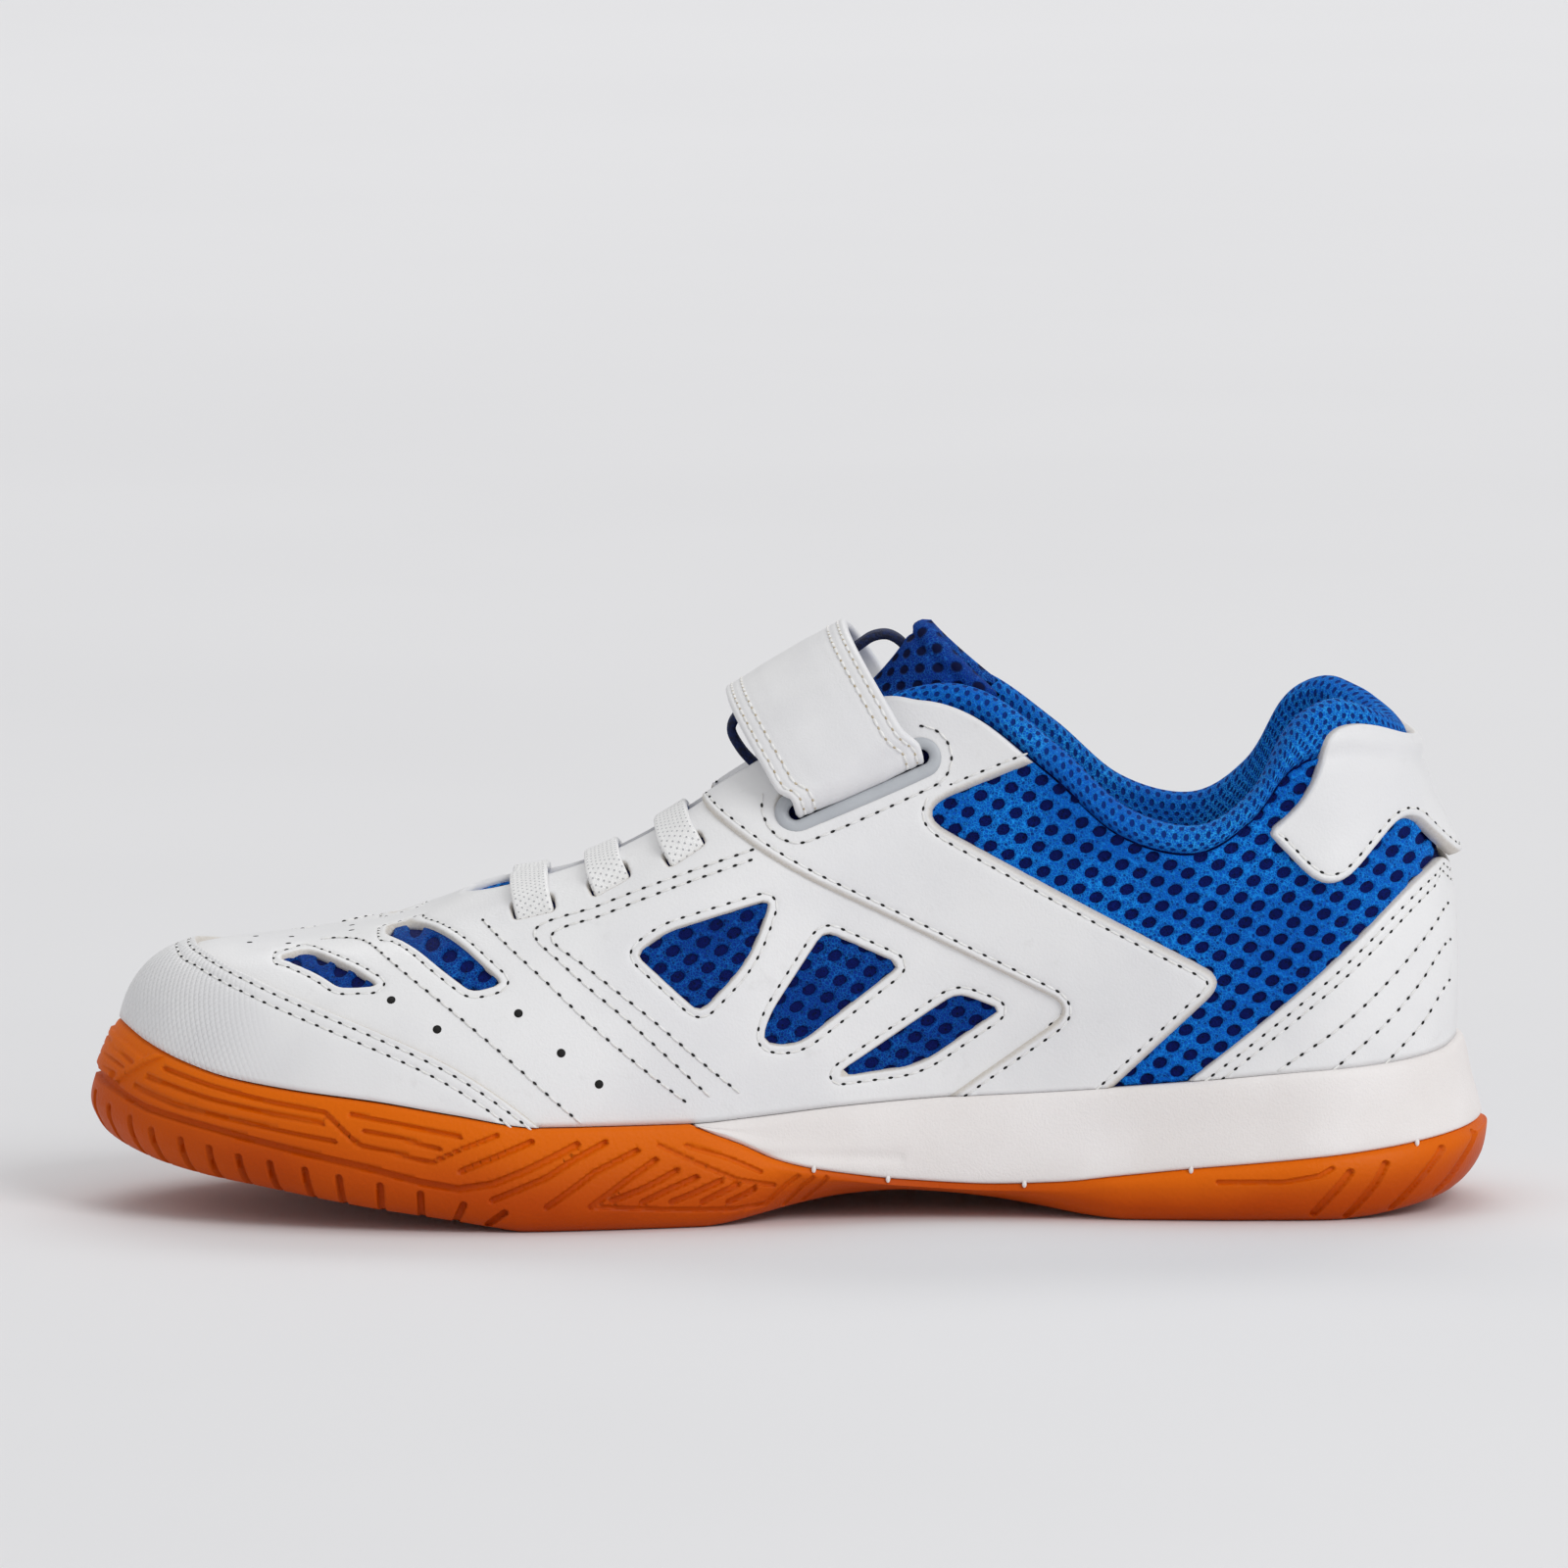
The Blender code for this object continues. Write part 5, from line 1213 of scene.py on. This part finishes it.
def acrossThree(rows, spread):  # rows of three points across, read at `spread` from -0.5 to 0.5
    w = np.asarray(spread)[None, :, None]
    left, middle, right = (rows[:, k, None] for k in range(3))
    return left * w * (2 * w - 1) + middle * (1 - 4 * w * w) + right * w * (2 * w + 1)


def edgeSpread(count, bunch=0.75):  # from -0.5 to 0.5, closer together near both ends
    t = np.linspace(-1, 1, count)
    return 0.5 * ((1 - bunch) * t + bunch * np.sin(t * math.pi / 2))


def sheetNormals(sheet):
    return unit(np.cross(np.gradient(sheet, axis=0), np.gradient(sheet, axis=1)))


def sheetDistance(sheet):  # distance of each point to the nearest side and to the nearest end
    across = np.linalg.norm(np.diff(sheet, axis=1), axis=-1)
    along = np.linalg.norm(np.diff(sheet, axis=0), axis=-1)
    fromLeft = np.concatenate([np.zeros((len(sheet), 1)), np.cumsum(across, axis=1)], axis=1)
    fromStart = np.concatenate([np.zeros((1, sheet.shape[1])), np.cumsum(along, axis=0)], axis=0)
    toRight, toEnd = fromLeft[:, -1:] - fromLeft, fromStart[-1:] - fromStart
    return np.minimum(fromLeft, toRight), np.minimum(fromStart, toEnd)


def buildPillow(name, sheet, shape, material, slot, *nodes, relief=None, flip=False):  # a band with round edges
    sheet = sheet[:, ::-1] if flip else sheet
    side, end = sheetDistance(sheet)
    normal = sheetNormals(sheet)
    rise = np.sqrt(1 - (1 - np.clip(np.minimum(side, end) / shape["edge"], 0, 1)) ** 2)
    height = shape["thickness"] / 2 * rise
    top = height if relief is None else height + relief(side, end) * rise
    rows, columns = sheet.shape[:2]
    border = np.ones((rows, columns), bool)
    border[1:-1, 1:-1] = False
    upperPoints, lowerPoints = sheet + normal * top[..., None], sheet - normal * height[..., None]
    ownIds = rows * columns + np.cumsum(~border.ravel()) - 1
    lowerIds = np.where(border.ravel(), np.arange(rows * columns), ownIds)
    verts = np.concatenate([upperPoints.reshape(-1, 3), lowerPoints[~border]])
    topFaces = gridFaces(rows, columns)
    faces = topFaces + [tuple(int(lowerIds[k]) for k in face[::-1]) for face in topFaces]
    piece = addPiece(name, toFrame(verts), faces, material, slot, *nodes)
    uv = piece.data.uv_layers.new(name="band")
    lengths = running(np.linalg.norm(np.diff(sheet.mean(1), axis=0), axis=-1))
    widths = running(np.linalg.norm(np.diff(sheet, axis=1), axis=-1).mean(0))
    places = np.stack(np.meshgrid(lengths, widths, indexing="ij"), axis=-1).reshape(-1, 2)
    places = np.concatenate([places, places[~border.ravel()]])
    corners = np.empty(len(piece.data.loops), int)
    piece.data.loops.foreach_get("vertex_index", corners)
    uv.data.foreach_set("uv", (places[corners] * mm).ravel())
    return piece, upperPoints, normal


def sheetLine(points, normal, column):  # a sewn line along a sheet at a column
    outward = normal[:, column]
    keepStitches(points[:, column] + outward * strapShape["threadLift"], outward, chain(len(points)), "strap")


def buildRing():
    origin, along, upward, outward = slotAxes()
    path = stadium(ringShape["half"], ringShape["bend"], ringShape["bends"])
    extra = np.linspace(-1, 1, 9)[1:-1]
    count = len(path) // 2
    top = np.stack([-extra * ringShape["half"], np.full(len(extra), ringShape["bend"])], axis=1)
    path = np.concatenate([path[:count], top, path[count:], -top])
    tangent = np.roll(path, -1, axis=0) - np.roll(path, 1, axis=0)
    side = unit(np.stack([tangent[:, 1], -tangent[:, 0]], axis=1))
    verts = []
    for (x, y), (sx, sy) in zip(path, side):
        for angle in np.arange(ringShape["sides"]) * 2 * math.pi / ringShape["sides"]:
            reach = ringShape["oval"] * ringShape["wire"] * math.cos(angle)
            depth = ringShape["wire"] * (1 + math.sin(angle)) + ringShape["lift"]
            verts.append(origin + along * (x + sx * reach) + upward * (y + sy * reach) + outward * depth)
    faces = [face[::-1] for face in gridFaces(len(path), ringShape["sides"], closeRows=True, closeColumns=True)]
    addPiece("slot_ring", toFrame(verts), faces, ringPlastic, "grey_plastic", "strap_ring")


def buildStrap():
    slotPlace, along, upward, outward = slotAxes()
    across, rising = leanAxes(strapShape["lean"])
    origin = np.array([strapShape["station"], 0, strapShape["height"]])
    width, rows = strapShape["width"], []
    for rise, depth in strapShape["start"]:
        middle = slotPlace + upward * rise + outward * depth
        rows.append([middle + along * width * w for w in threeAcross])
    for reach, rise in strapShape["arch"]:
        share = rise / strapShape["crown"]
        row, _ = leanAxes(strapShape["lean"] + strapShape["twist"] * share)
        middle = origin + (strapShape["shift"] * share, reach, 0) + rising * rise
        rows.append([middle + row * width * w for w in threeAcross])
    for fall in strapShape["fall"]:
        spots = np.array([origin + rising * fall + across * width * w for w in threeAcross])
        rows.append(skinPoint(*findOnSkin(spots[:, [0, 2]], -1), strapShape["clear"]))
    fine = smoothRows(np.array(rows), strapShape["rows"])
    sheet = acrossThree(fine, edgeSpread(strapShape["columns"]))

    def relief(side, end):
        sewn = sum(bell(side - distance, 0.4) for distance in strapShape["sewn"])
        return 0.15 * smoothStep(5.2, 7.5, side) - 0.22 * sewn

    _, points, normal = buildPillow("instep_strap", sheet, strapShape, webbing, "white_webbing", "strap",
                                    relief=relief, flip=True)
    side, _ = sheetDistance(sheet[:, ::-1])
    middle, sewn = strapShape["columns"] // 2, slice(strapShape["sewnFrom"], -strapShape["sewnFrom"])
    for distance in strapShape["sewn"]:
        for columns in (range(middle + 1), range(middle, strapShape["columns"])):
            column = min(columns, key=lambda c: abs(side[strapShape["sewnRow"], c] - distance))
            sheetLine(points[sewn], normal[sewn], column)


laceShape = {
    "width": 6.6, "thickness": 1.5, "over": 2.15, "crown": -0.3, "edge": 0.6, "inward": 0.72,
    "rise": [(-0.55, -0.7), (-0.2, 0.4), (0.2, 1.7), (0.6, 2.15)], "rows": [4, 4, 4, 6, 5, 8], "columns": 21,
}


def throatEdge(stations, side, offset):  # points over the edge of the lace front
    turns = onSide(np.linspace(8, toeRib, 200), side)
    turn = np.interp(stations, lastPoint(turns, np.ones(len(turns)))[:, 0], turns)
    return skinPoint(turn, np.ones(len(turn)), offset)


def buildLace(number, lace):
    along, upward = leanAxes(lace["lean"])
    halves = []
    for side in (-1, 1):
        half = []
        slot = np.array([lace["station"], 0, laceHeight(lace, side)])
        spread = along * laceShape["width"] * np.array(threeAcross)[:, None]
        for climb, offset in laceShape["rise"]:
            row = slot + upward * lace["climb"] * climb + spread
            half.append(skinPoint(*findOnSkin(row[:, [0, 2]], side), offset))
        edge = throatEdge((slot + upward * lace["climb"] + spread)[:, 0], side, laceShape["over"])
        half += [edge, edge * (1, laceShape["inward"], 1)]
        halves.append(np.array(half))
    crown = (halves[0][-1] + halves[1][-1]) / 2 + upward * laceShape["crown"]
    rows = np.concatenate([halves[0], crown[None], halves[1][::-1]])
    fine = smoothRows(rows, laceShape["rows"] + laceShape["rows"][::-1])
    sheet = acrossThree(fine, edgeSpread(laceShape["columns"]))
    buildPillow(f"elastic_bar_{number}", sheet, laceShape, elastic, "white_elastic", f"elastic_lace_{number}")


tongueShape = {
    "thickness": 4.6, "edge": 3.2, "between": 8, "columns": 45,
    "rows": [  # middle and height of the centre line, half width, drop of the edges, how far they trail back
        (179, 42.2, 8.5, 2, 0), (168, 45.8, 11, 3.5, 0), (156, 49.6, 13, 5, 0), (143, 55.8, 14.5, 6.5, 0),
        (130, 63.6, 15, 7.5, 0), (118, 72.6, 14.5, 8, 0), (108, 81.2, 12.8, 8, 3.5), (100.5, 88.6, 11.6, 8.5, 7),
        (96.4, 94, 11.2, 10, 10), (94.2, 98.2, 10.4, 11.5, 11.5),
    ],
}


def buildTongue():
    spread = 2 * edgeSpread(tongueShape["columns"], 0.5)
    given = np.array(tongueShape["rows"], float)
    rows = smoothRows(given, [tongueShape["between"]] * (len(given) - 1))
    sheet = np.array([[(middle - trail * a * a, half * a, height - drop * abs(a) ** 1.7) for a in spread]
                      for middle, height, half, drop, trail in rows])

    def relief(side, end):
        inward = np.minimum(side, end)
        return 0.25 * bell(inward - 1.7, 1.0) - 0.55 * bell(inward - 3.4, 0.7)

    piece, _, _ = buildPillow("padded_tongue", sheet, tongueShape, tongueKnit, "blue_padding", "tongue",
                              relief=relief, flip=True)


loopShape = {
    "across": -3.0, "width": 5.0, "thickness": 1.5, "edge": 0.75, "columns": 15,
    "rows": [6, 6, 5, 5, 14, 5, 5, 5, 6],
    "path": [(123.4, 72.8), (126.4, 76.2), (127.9, 79.4), (126.9, 81.6), (124.8, 82.8), (107.1, 93.1), (104, 95.1),
             (101.5, 95.4), (99.3, 94.2), (97.8, 92)],
}


def buildLoop():
    sides = [loopShape["across"] + w * loopShape["width"] for w in threeAcross]
    rows = np.array([[(s, y, z) for y in sides] for s, z in loopShape["path"]])
    sheet = acrossThree(smoothRows(rows, loopShape["rows"]), edgeSpread(loopShape["columns"]))
    buildPillow("keeper_loop", sheet, loopShape, navyTape, "navy_webbing", "tongue_loop")


buildRing()
buildStrap()
for number, lace in enumerate(laces, 1):
    buildLace(number, lace)
buildTongue()
buildLoop()
print("trim made")


# punched air holes, drawn as flat dark dots of painted shade, and the small nibs that moulding left on the foam's
# edge

dotShape = {
    "vents": [(184.4, 37.3), (176.8, 33.1), (163.3, 35.7), (156.3, 29.5), (150.1, 24.4)], "ventRadius": 0.75,
    "pins": [(208.7, 8.1), (202.2, 11.2), (201.9, 5), (208.1, 2.5), (191.7, 4.4), (191.8, -2), (202.2, -11.2),
             (208.7, -8.1)],
    "pinRadius": 0.5, "lift": 1.37, "height": 0.03, "depth": 0.3, "nibs": [115.4, 102.1, 78.8, 50.7, 15.9],
    "nibSize": (0.4, 0.65), "nibSides": 8, "nibRows": 5,
}


def lens(middle, outward, radius, height, sides=14):  # a flat closed dot
    across = np.cross(outward, (0.0, 0.0, 1.0))
    across /= np.linalg.norm(across)
    upward = np.cross(across, outward)
    bend = np.arange(sides)[:, None] * 2 * math.pi / sides
    ring = middle + radius * (np.cos(bend) * across + np.sin(bend) * upward)
    points = np.concatenate([ring, [middle + outward * height, middle - outward * dotShape["depth"]]])
    ahead = [(i, (i + 1) % sides) for i in range(sides)]
    return points, [face for a, b in ahead for face in ((a, b, sides), (b, a, sides + 1))]


def buildDots():
    dots = []
    for side in (1, -1):
        turn, up = findOnSkin(dotShape["vents"], side)
        middles, outward = skinPoint(turn, up, dotShape["lift"]), lastNormal(turn, up)
        dots += [lens(*spot, dotShape["ventRadius"], dotShape["height"]) for spot in zip(middles, outward)]
    turns, ups = (grid.ravel() for grid in np.meshgrid(np.linspace(14, 24, 240), np.linspace(0.3, 1, 160)))
    plan = skinPoint(turns, ups)[:, :2]
    for spot in dotShape["pins"]:
        best = np.argmin(((plan - spot) ** 2).sum(1))
        middle = skinPoint(turns[best], ups[best], dotShape["lift"])
        outward = lastNormal(turns[best], ups[best])
        dots.append(lens(middle, outward, dotShape["pinRadius"], dotShape["height"]))
    addPiece("air_holes", *joined(dots), paintedHoleShade, "navy_webbing")


def buildNibs():
    nibs, sides, rows = [], dotShape["nibSides"], dotShape["nibRows"]
    wide, tall = dotShape["nibSize"]
    bend, tilt = np.arange(sides) * 2 * math.pi / sides, np.linspace(-math.pi / 2, math.pi / 2, rows + 2)
    ball = np.array([[(math.cos(b) * math.cos(a) * wide, math.sin(b) * math.cos(a) * wide, math.sin(a) * tall)
                      for b in bend] for a in tilt])
    low, high, top = rows * sides, rows * sides + 1, (rows - 1) * sides
    ahead = [(i, (i + 1) % sides) for i in range(sides)]
    caps = [face for a, b in ahead for face in ((a, b, low), (top + b, top + a, high))]
    faces = [face[::-1] for face in gridFaces(rows, sides, closeColumns=True) + caps]
    inner = np.flatnonzero(isInner)[::-1]
    for station in dotShape["nibs"]:
        k = inner[np.argmin(np.abs(soleStation[inner] - station))]
        height = gumHeight(station)
        middle = soleBite[k] + soleOut[k] * sideOffset(station, height)
        middle[2] = height
        grid = middle + ball
        nibs.append((np.concatenate([grid[1:-1].reshape(-1, 3), grid[0, :1], grid[-1, :1]]), faces))
    addPiece("foam_nibs", *joined(nibs), foam, "white_foam")


buildDots()
buildNibs()
print("dots placed")


# sewn lines that follow no edge, as height over the skin and (station, height) in side view on both sides

sewnLines = [
    (1.4, [(195.9, 44), (193.3, 44.3), (190.1, 44.6), (188.2, 44.4), (186.3, 43.6), (184.5, 42.6), (180.8, 40.3),
           (176.5, 37.4), (172.1, 34.2), (165.8, 29.2), (156.3, 20.8), (153.7, 18.6)]),
    (1.4, [(169.1, 48.8), (159.3, 41.1), (150.6, 33.3), (140.8, 25.1), (136, 21.3)]),
    (1.4, [(124.3, 61.7), (137.2, 57), (149.6, 52.1), (160.5, 47.7), (156.2, 43.5), (145.4, 34.7), (137.2, 27.1),
           (132.4, 22.4)]),
    (1.4, [(124.6, 60.1), (137.2, 55.5), (148.7, 50.9), (157.7, 47.2), (152, 43), (142.1, 35.4), (134.7, 29),
           (127.6, 22.8)]),
    (1.7, [(35.7, 25.8), (25.8, 33), (17.2, 41.2), (10.9, 48.6), (8.9, 51.1), (6.3, 49.3)]),
    (1.7, [(27.1, 25.7), (19, 32.7), (13.6, 38.8), (8.5, 45.1), (5.6, 42.4)]),
    (1.7, [(18.7, 26.3), (13.2, 32), (8, 38.7), (5.6, 36.5)]),
]


def smoothPath(points, step=1.2):
    points = np.array(points, float)
    return smoothRows(points, [max(int(np.linalg.norm(b - a) / step), 2) for a, b in zip(points, points[1:])])


def sewLines():
    for lift, line in sewnLines:
        path = smoothPath(line)
        for side in (1, -1):
            turn, up = findOnSkin(path, side)
            points, normal = skinPoint(turn, up, lift + 0.03), lastNormal(turn, up)
            beside = np.abs(points[:, 1]) > 9.5
            keepStitches(points, normal, [(a, b) for a, b in chain(len(path)) if beside[a] and beside[b]])


def sewRing():
    origin, along, upward, _ = slotAxes()
    path = stadium(ringShape["half"], ringShape["bend"] + ringShape["sewn"], ringShape["bends"])
    path = np.roll(path, -ringShape["bends"], axis=0)[slice(*ringShape["sewnPart"])]
    fine = smoothPath((origin + path[:, :1] * along + path[:, 1:] * upward)[:, [0, 2]])
    turn, up = findOnSkin(fine, 1)
    keepStitches(skinPoint(turn, up, ringShape["sewnLift"]), lastNormal(turn, up), chain(len(fine)))


sewLines()
sewRing()


# stitches along every sewn line: a thread and a dark needle hole of painted shade by turns

stitchShape = {
    "panel": {"pitch": 2.7, "threadLength": 1.9, "threadRadius": 0.22, "holeLength": 0.84, "holeRadius": 0.25},
    "strap": {"pitch": 2.2, "threadLength": 1.7, "threadRadius": 0.3, "holeLength": 0.6, "holeRadius": 0.22},
}


def nodeTree(name, inputs):
    tree = bpy.data.node_groups.new(name, "GeometryNodeTree")
    tree.interface.new_socket("Geometry", in_out="INPUT", socket_type="NodeSocketGeometry")
    tree.interface.new_socket("Geometry", in_out="OUTPUT", socket_type="NodeSocketGeometry")
    for key, kind in inputs:
        tree.interface.new_socket(key, in_out="INPUT", socket_type=kind)
    return tree


def wire(tree, kind, settings=None, sockets=None):
    node = tree.nodes.new(kind)
    for key, value in (settings or {}).items():
        setattr(node, key, value)
    for key, value in (sockets or {}).items():
        if isinstance(value, bpy.types.NodeSocket):
            tree.links.new(value, node.inputs[key])
        else:
            node.inputs[key].default_value = value
    return node


def stitchTree():
    tree = nodeTree("stitch_row", [("Pitch", "NodeSocketFloat"), ("Parity", "NodeSocketInt"),
                                   ("Size", "NodeSocketVector"), ("Material", "NodeSocketMaterial")])
    given = wire(tree, "NodeGroupInput").outputs
    curve = wire(tree, "GeometryNodeMeshToCurve", {}, {"Mesh": given["Geometry"]})
    halved = wire(tree, "ShaderNodeMath", {"operation": "MULTIPLY"}, {0: given["Pitch"], 1: 0.5})
    spaced = wire(tree, "GeometryNodeResampleCurve", {"mode": "LENGTH"},
                  {"Curve": curve.outputs[0], "Length": halved.outputs[0]})
    index = wire(tree, "GeometryNodeInputIndex")
    odd = wire(tree, "ShaderNodeMath", {"operation": "MODULO"}, {0: index.outputs[0], 1: 2.0})
    chosen = wire(tree, "FunctionNodeCompare", {"data_type": "FLOAT", "operation": "EQUAL"},
                  {0: odd.outputs[0], 1: given["Parity"]})
    lift = wire(tree, "GeometryNodeInputNamedAttribute", {"data_type": "FLOAT_VECTOR"}, {"Name": "outward"})
    tangent = wire(tree, "GeometryNodeInputTangent")
    turned = wire(tree, "FunctionNodeAxesToRotation", {"primary_axis": "Z", "secondary_axis": "X"},
                  {0: lift.outputs[0], 1: tangent.outputs[0]})
    bead = wire(tree, "GeometryNodeMeshUVSphere", {}, {"Segments": 6, "Rings": 5, "Radius": 1.0})
    level = wire(tree, "GeometryNodeTransform", {},
                 {"Geometry": bead.outputs[0], "Rotation": (0, math.pi / 2, 0)})
    shaped = wire(tree, "GeometryNodeTransform", {}, {"Geometry": level.outputs[0], "Scale": given["Size"]})
    placed = wire(tree, "GeometryNodeInstanceOnPoints", {},
                  {"Points": spaced.outputs[0], "Selection": chosen.outputs[0],
                   "Instance": shaped.outputs[0], "Rotation": turned.outputs[0]})
    real = wire(tree, "GeometryNodeRealizeInstances", {}, {"Geometry": placed.outputs[0]})
    painted = wire(tree, "GeometryNodeSetMaterial", {},
                   {"Geometry": real.outputs[0], "Material": given["Material"]})
    wire(tree, "NodeGroupOutput", {}, {"Geometry": painted.outputs[0]})
    return tree


def grown(name, base, tree, values, slot):  # a plain mesh from a node tree on `base`
    holder = bpy.data.objects.new(name + "_source", base)
    bpy.context.scene.collection.objects.link(holder)
    modifier = holder.modifiers.new("nodes", "NODES")
    modifier.node_group = tree
    for socket in tree.interface.items_tree:
        if socket.in_out == "INPUT" and socket.name in values:
            modifier[socket.identifier] = values[socket.name]
    state = bpy.context.evaluated_depsgraph_get()
    mesh = bpy.data.meshes.new_from_object(holder.evaluated_get(state))
    bpy.data.objects.remove(holder)
    mesh.name = name
    mesh.shade_smooth()
    mesh.materials.clear()
    mesh.materials.append(values["Material"])
    addObject(name, mesh, slot)


def pathMesh(name, rows):
    points, outward, edges, start = [], [], [], 0
    for place, normal, pairs in rows:
        used = sorted({k for pair in pairs for k in pair})
        number = {k: start + i for i, k in enumerate(used)}
        points += toFrame(place[used]).tolist()
        outward += normal[used].tolist()
        edges += [(number[a], number[b]) for a, b in pairs]
        start += len(used)
    mesh = bpy.data.meshes.new(name)
    mesh.from_pydata(points, edges, [])
    directions = mesh.attributes.new("outward", "FLOAT_VECTOR", "POINT")
    directions.data.foreach_set("vector", np.array(outward, np.float32).ravel())
    return mesh


def buildStitches():
    tree = stitchTree()
    for kind, hole in (("panel", paintedHoleShade), ("strap", tanHole)):
        base, shape = pathMesh(kind + "_paths", stitchRows[kind]), stitchShape[kind]
        beads = (("thread", 1, 1.0, thread, "white_leather"), ("hole", 0, 0.7, hole, "navy_webbing"))
        for part, parity, flat, material, slot in beads:
            long, thick = shape[part + "Length"] / 2 * mm, shape[part + "Radius"] * mm
            values = {"Pitch": shape["pitch"] * mm, "Parity": parity, "Size": (long, thick, thick * flat),
                      "Material": material}
            grown(f"{kind}_{part}s", base, tree, values, slot)


buildStitches()
print("stitches sewn")


# camera, floor and light

view = {
    "elevation": 7.0, "distance": 3.0, "lens": 408.4, "sensor": 36.0, "farthest": 20.0, "aim": (119.0, 0.0, 70.3),
}
camera = bpy.data.objects.new("camera", bpy.data.cameras.new("camera"))
bpy.context.scene.collection.objects.link(camera)
camera.data.sensor_width, camera.data.lens = view["sensor"], view["lens"]
camera.data.clip_end = view["farthest"]
aim = Vector(toFrame(view["aim"]))
tilt = math.radians(view["elevation"])
camera.location = aim + Vector((0, math.cos(tilt), math.sin(tilt))) * view["distance"]
camera.rotation_euler = (aim - camera.location).to_track_quat("-Z", "Y").to_euler()
bpy.context.scene.camera = camera

floorFinish = plainFinish("pale_floor", "E6E6E8", "E4E4E6", 3, 0.75, 40, 0.00001)
studio = {
    "floorReach": 9.0, "world": 0.53,
    "lights": [  # name, place, size, power and, where it isn't the shoe, target
        ("key_light", (-1.9, 2.1, 2.2), (1.6, 1.6), 44.0),
        ("top_light", (0.2, -0.3, 2.2), (1.4, 1.0), 4.0),
        ("edge_light", (-0.9, 0.7, 0.35), (0.3, 0.6), 0.8),
        ("toe_light", (0.9, 0.6, 0.2), (0.3, 0.3), 0.35),
        ("far_light", (-0.2, -2.7, 2.6), (2.4, 1.4), 32.0, (-0.2, -2.7, 0)),
    ],
}


def buildFloor():  # wide enough to fill the view from any side
    reach = studio["floorReach"]
    corners = [(x * reach, y * reach, 0) for x, y in ((1, 1), (-1, 1), (-1, -1), (1, -1))]
    mesh = bpy.data.meshes.new("floor")
    mesh.from_pydata(corners, [], [(0, 1, 2, 3)])
    mesh.materials.append(floorFinish)
    floor = bpy.data.objects.new("floor", mesh)
    bpy.context.scene.collection.objects.link(floor)


buildFloor()
bpy.context.scene.view_settings.view_transform = "Standard"
world = bpy.data.worlds.new("studio")
world.use_nodes = True
sky = world.node_tree.nodes["Background"].inputs
sky["Color"].default_value, sky["Strength"].default_value = (1, 1, 1, 1), studio["world"]
bpy.context.scene.world = world


def softBox(name, place, size, power, target=aim):
    light = bpy.data.objects.new(name, bpy.data.lights.new(name, "AREA"))
    light.data.shape = "RECTANGLE"
    light.data.size, light.data.size_y = size
    light.data.energy = power
    light.location = place
    light.rotation_euler = (Vector(target) - Vector(place)).to_track_quat("-Z", "Y").to_euler()
    bpy.context.scene.collection.objects.link(light)


for row in studio["lights"]:
    softBox(*row)
print("studio lit")
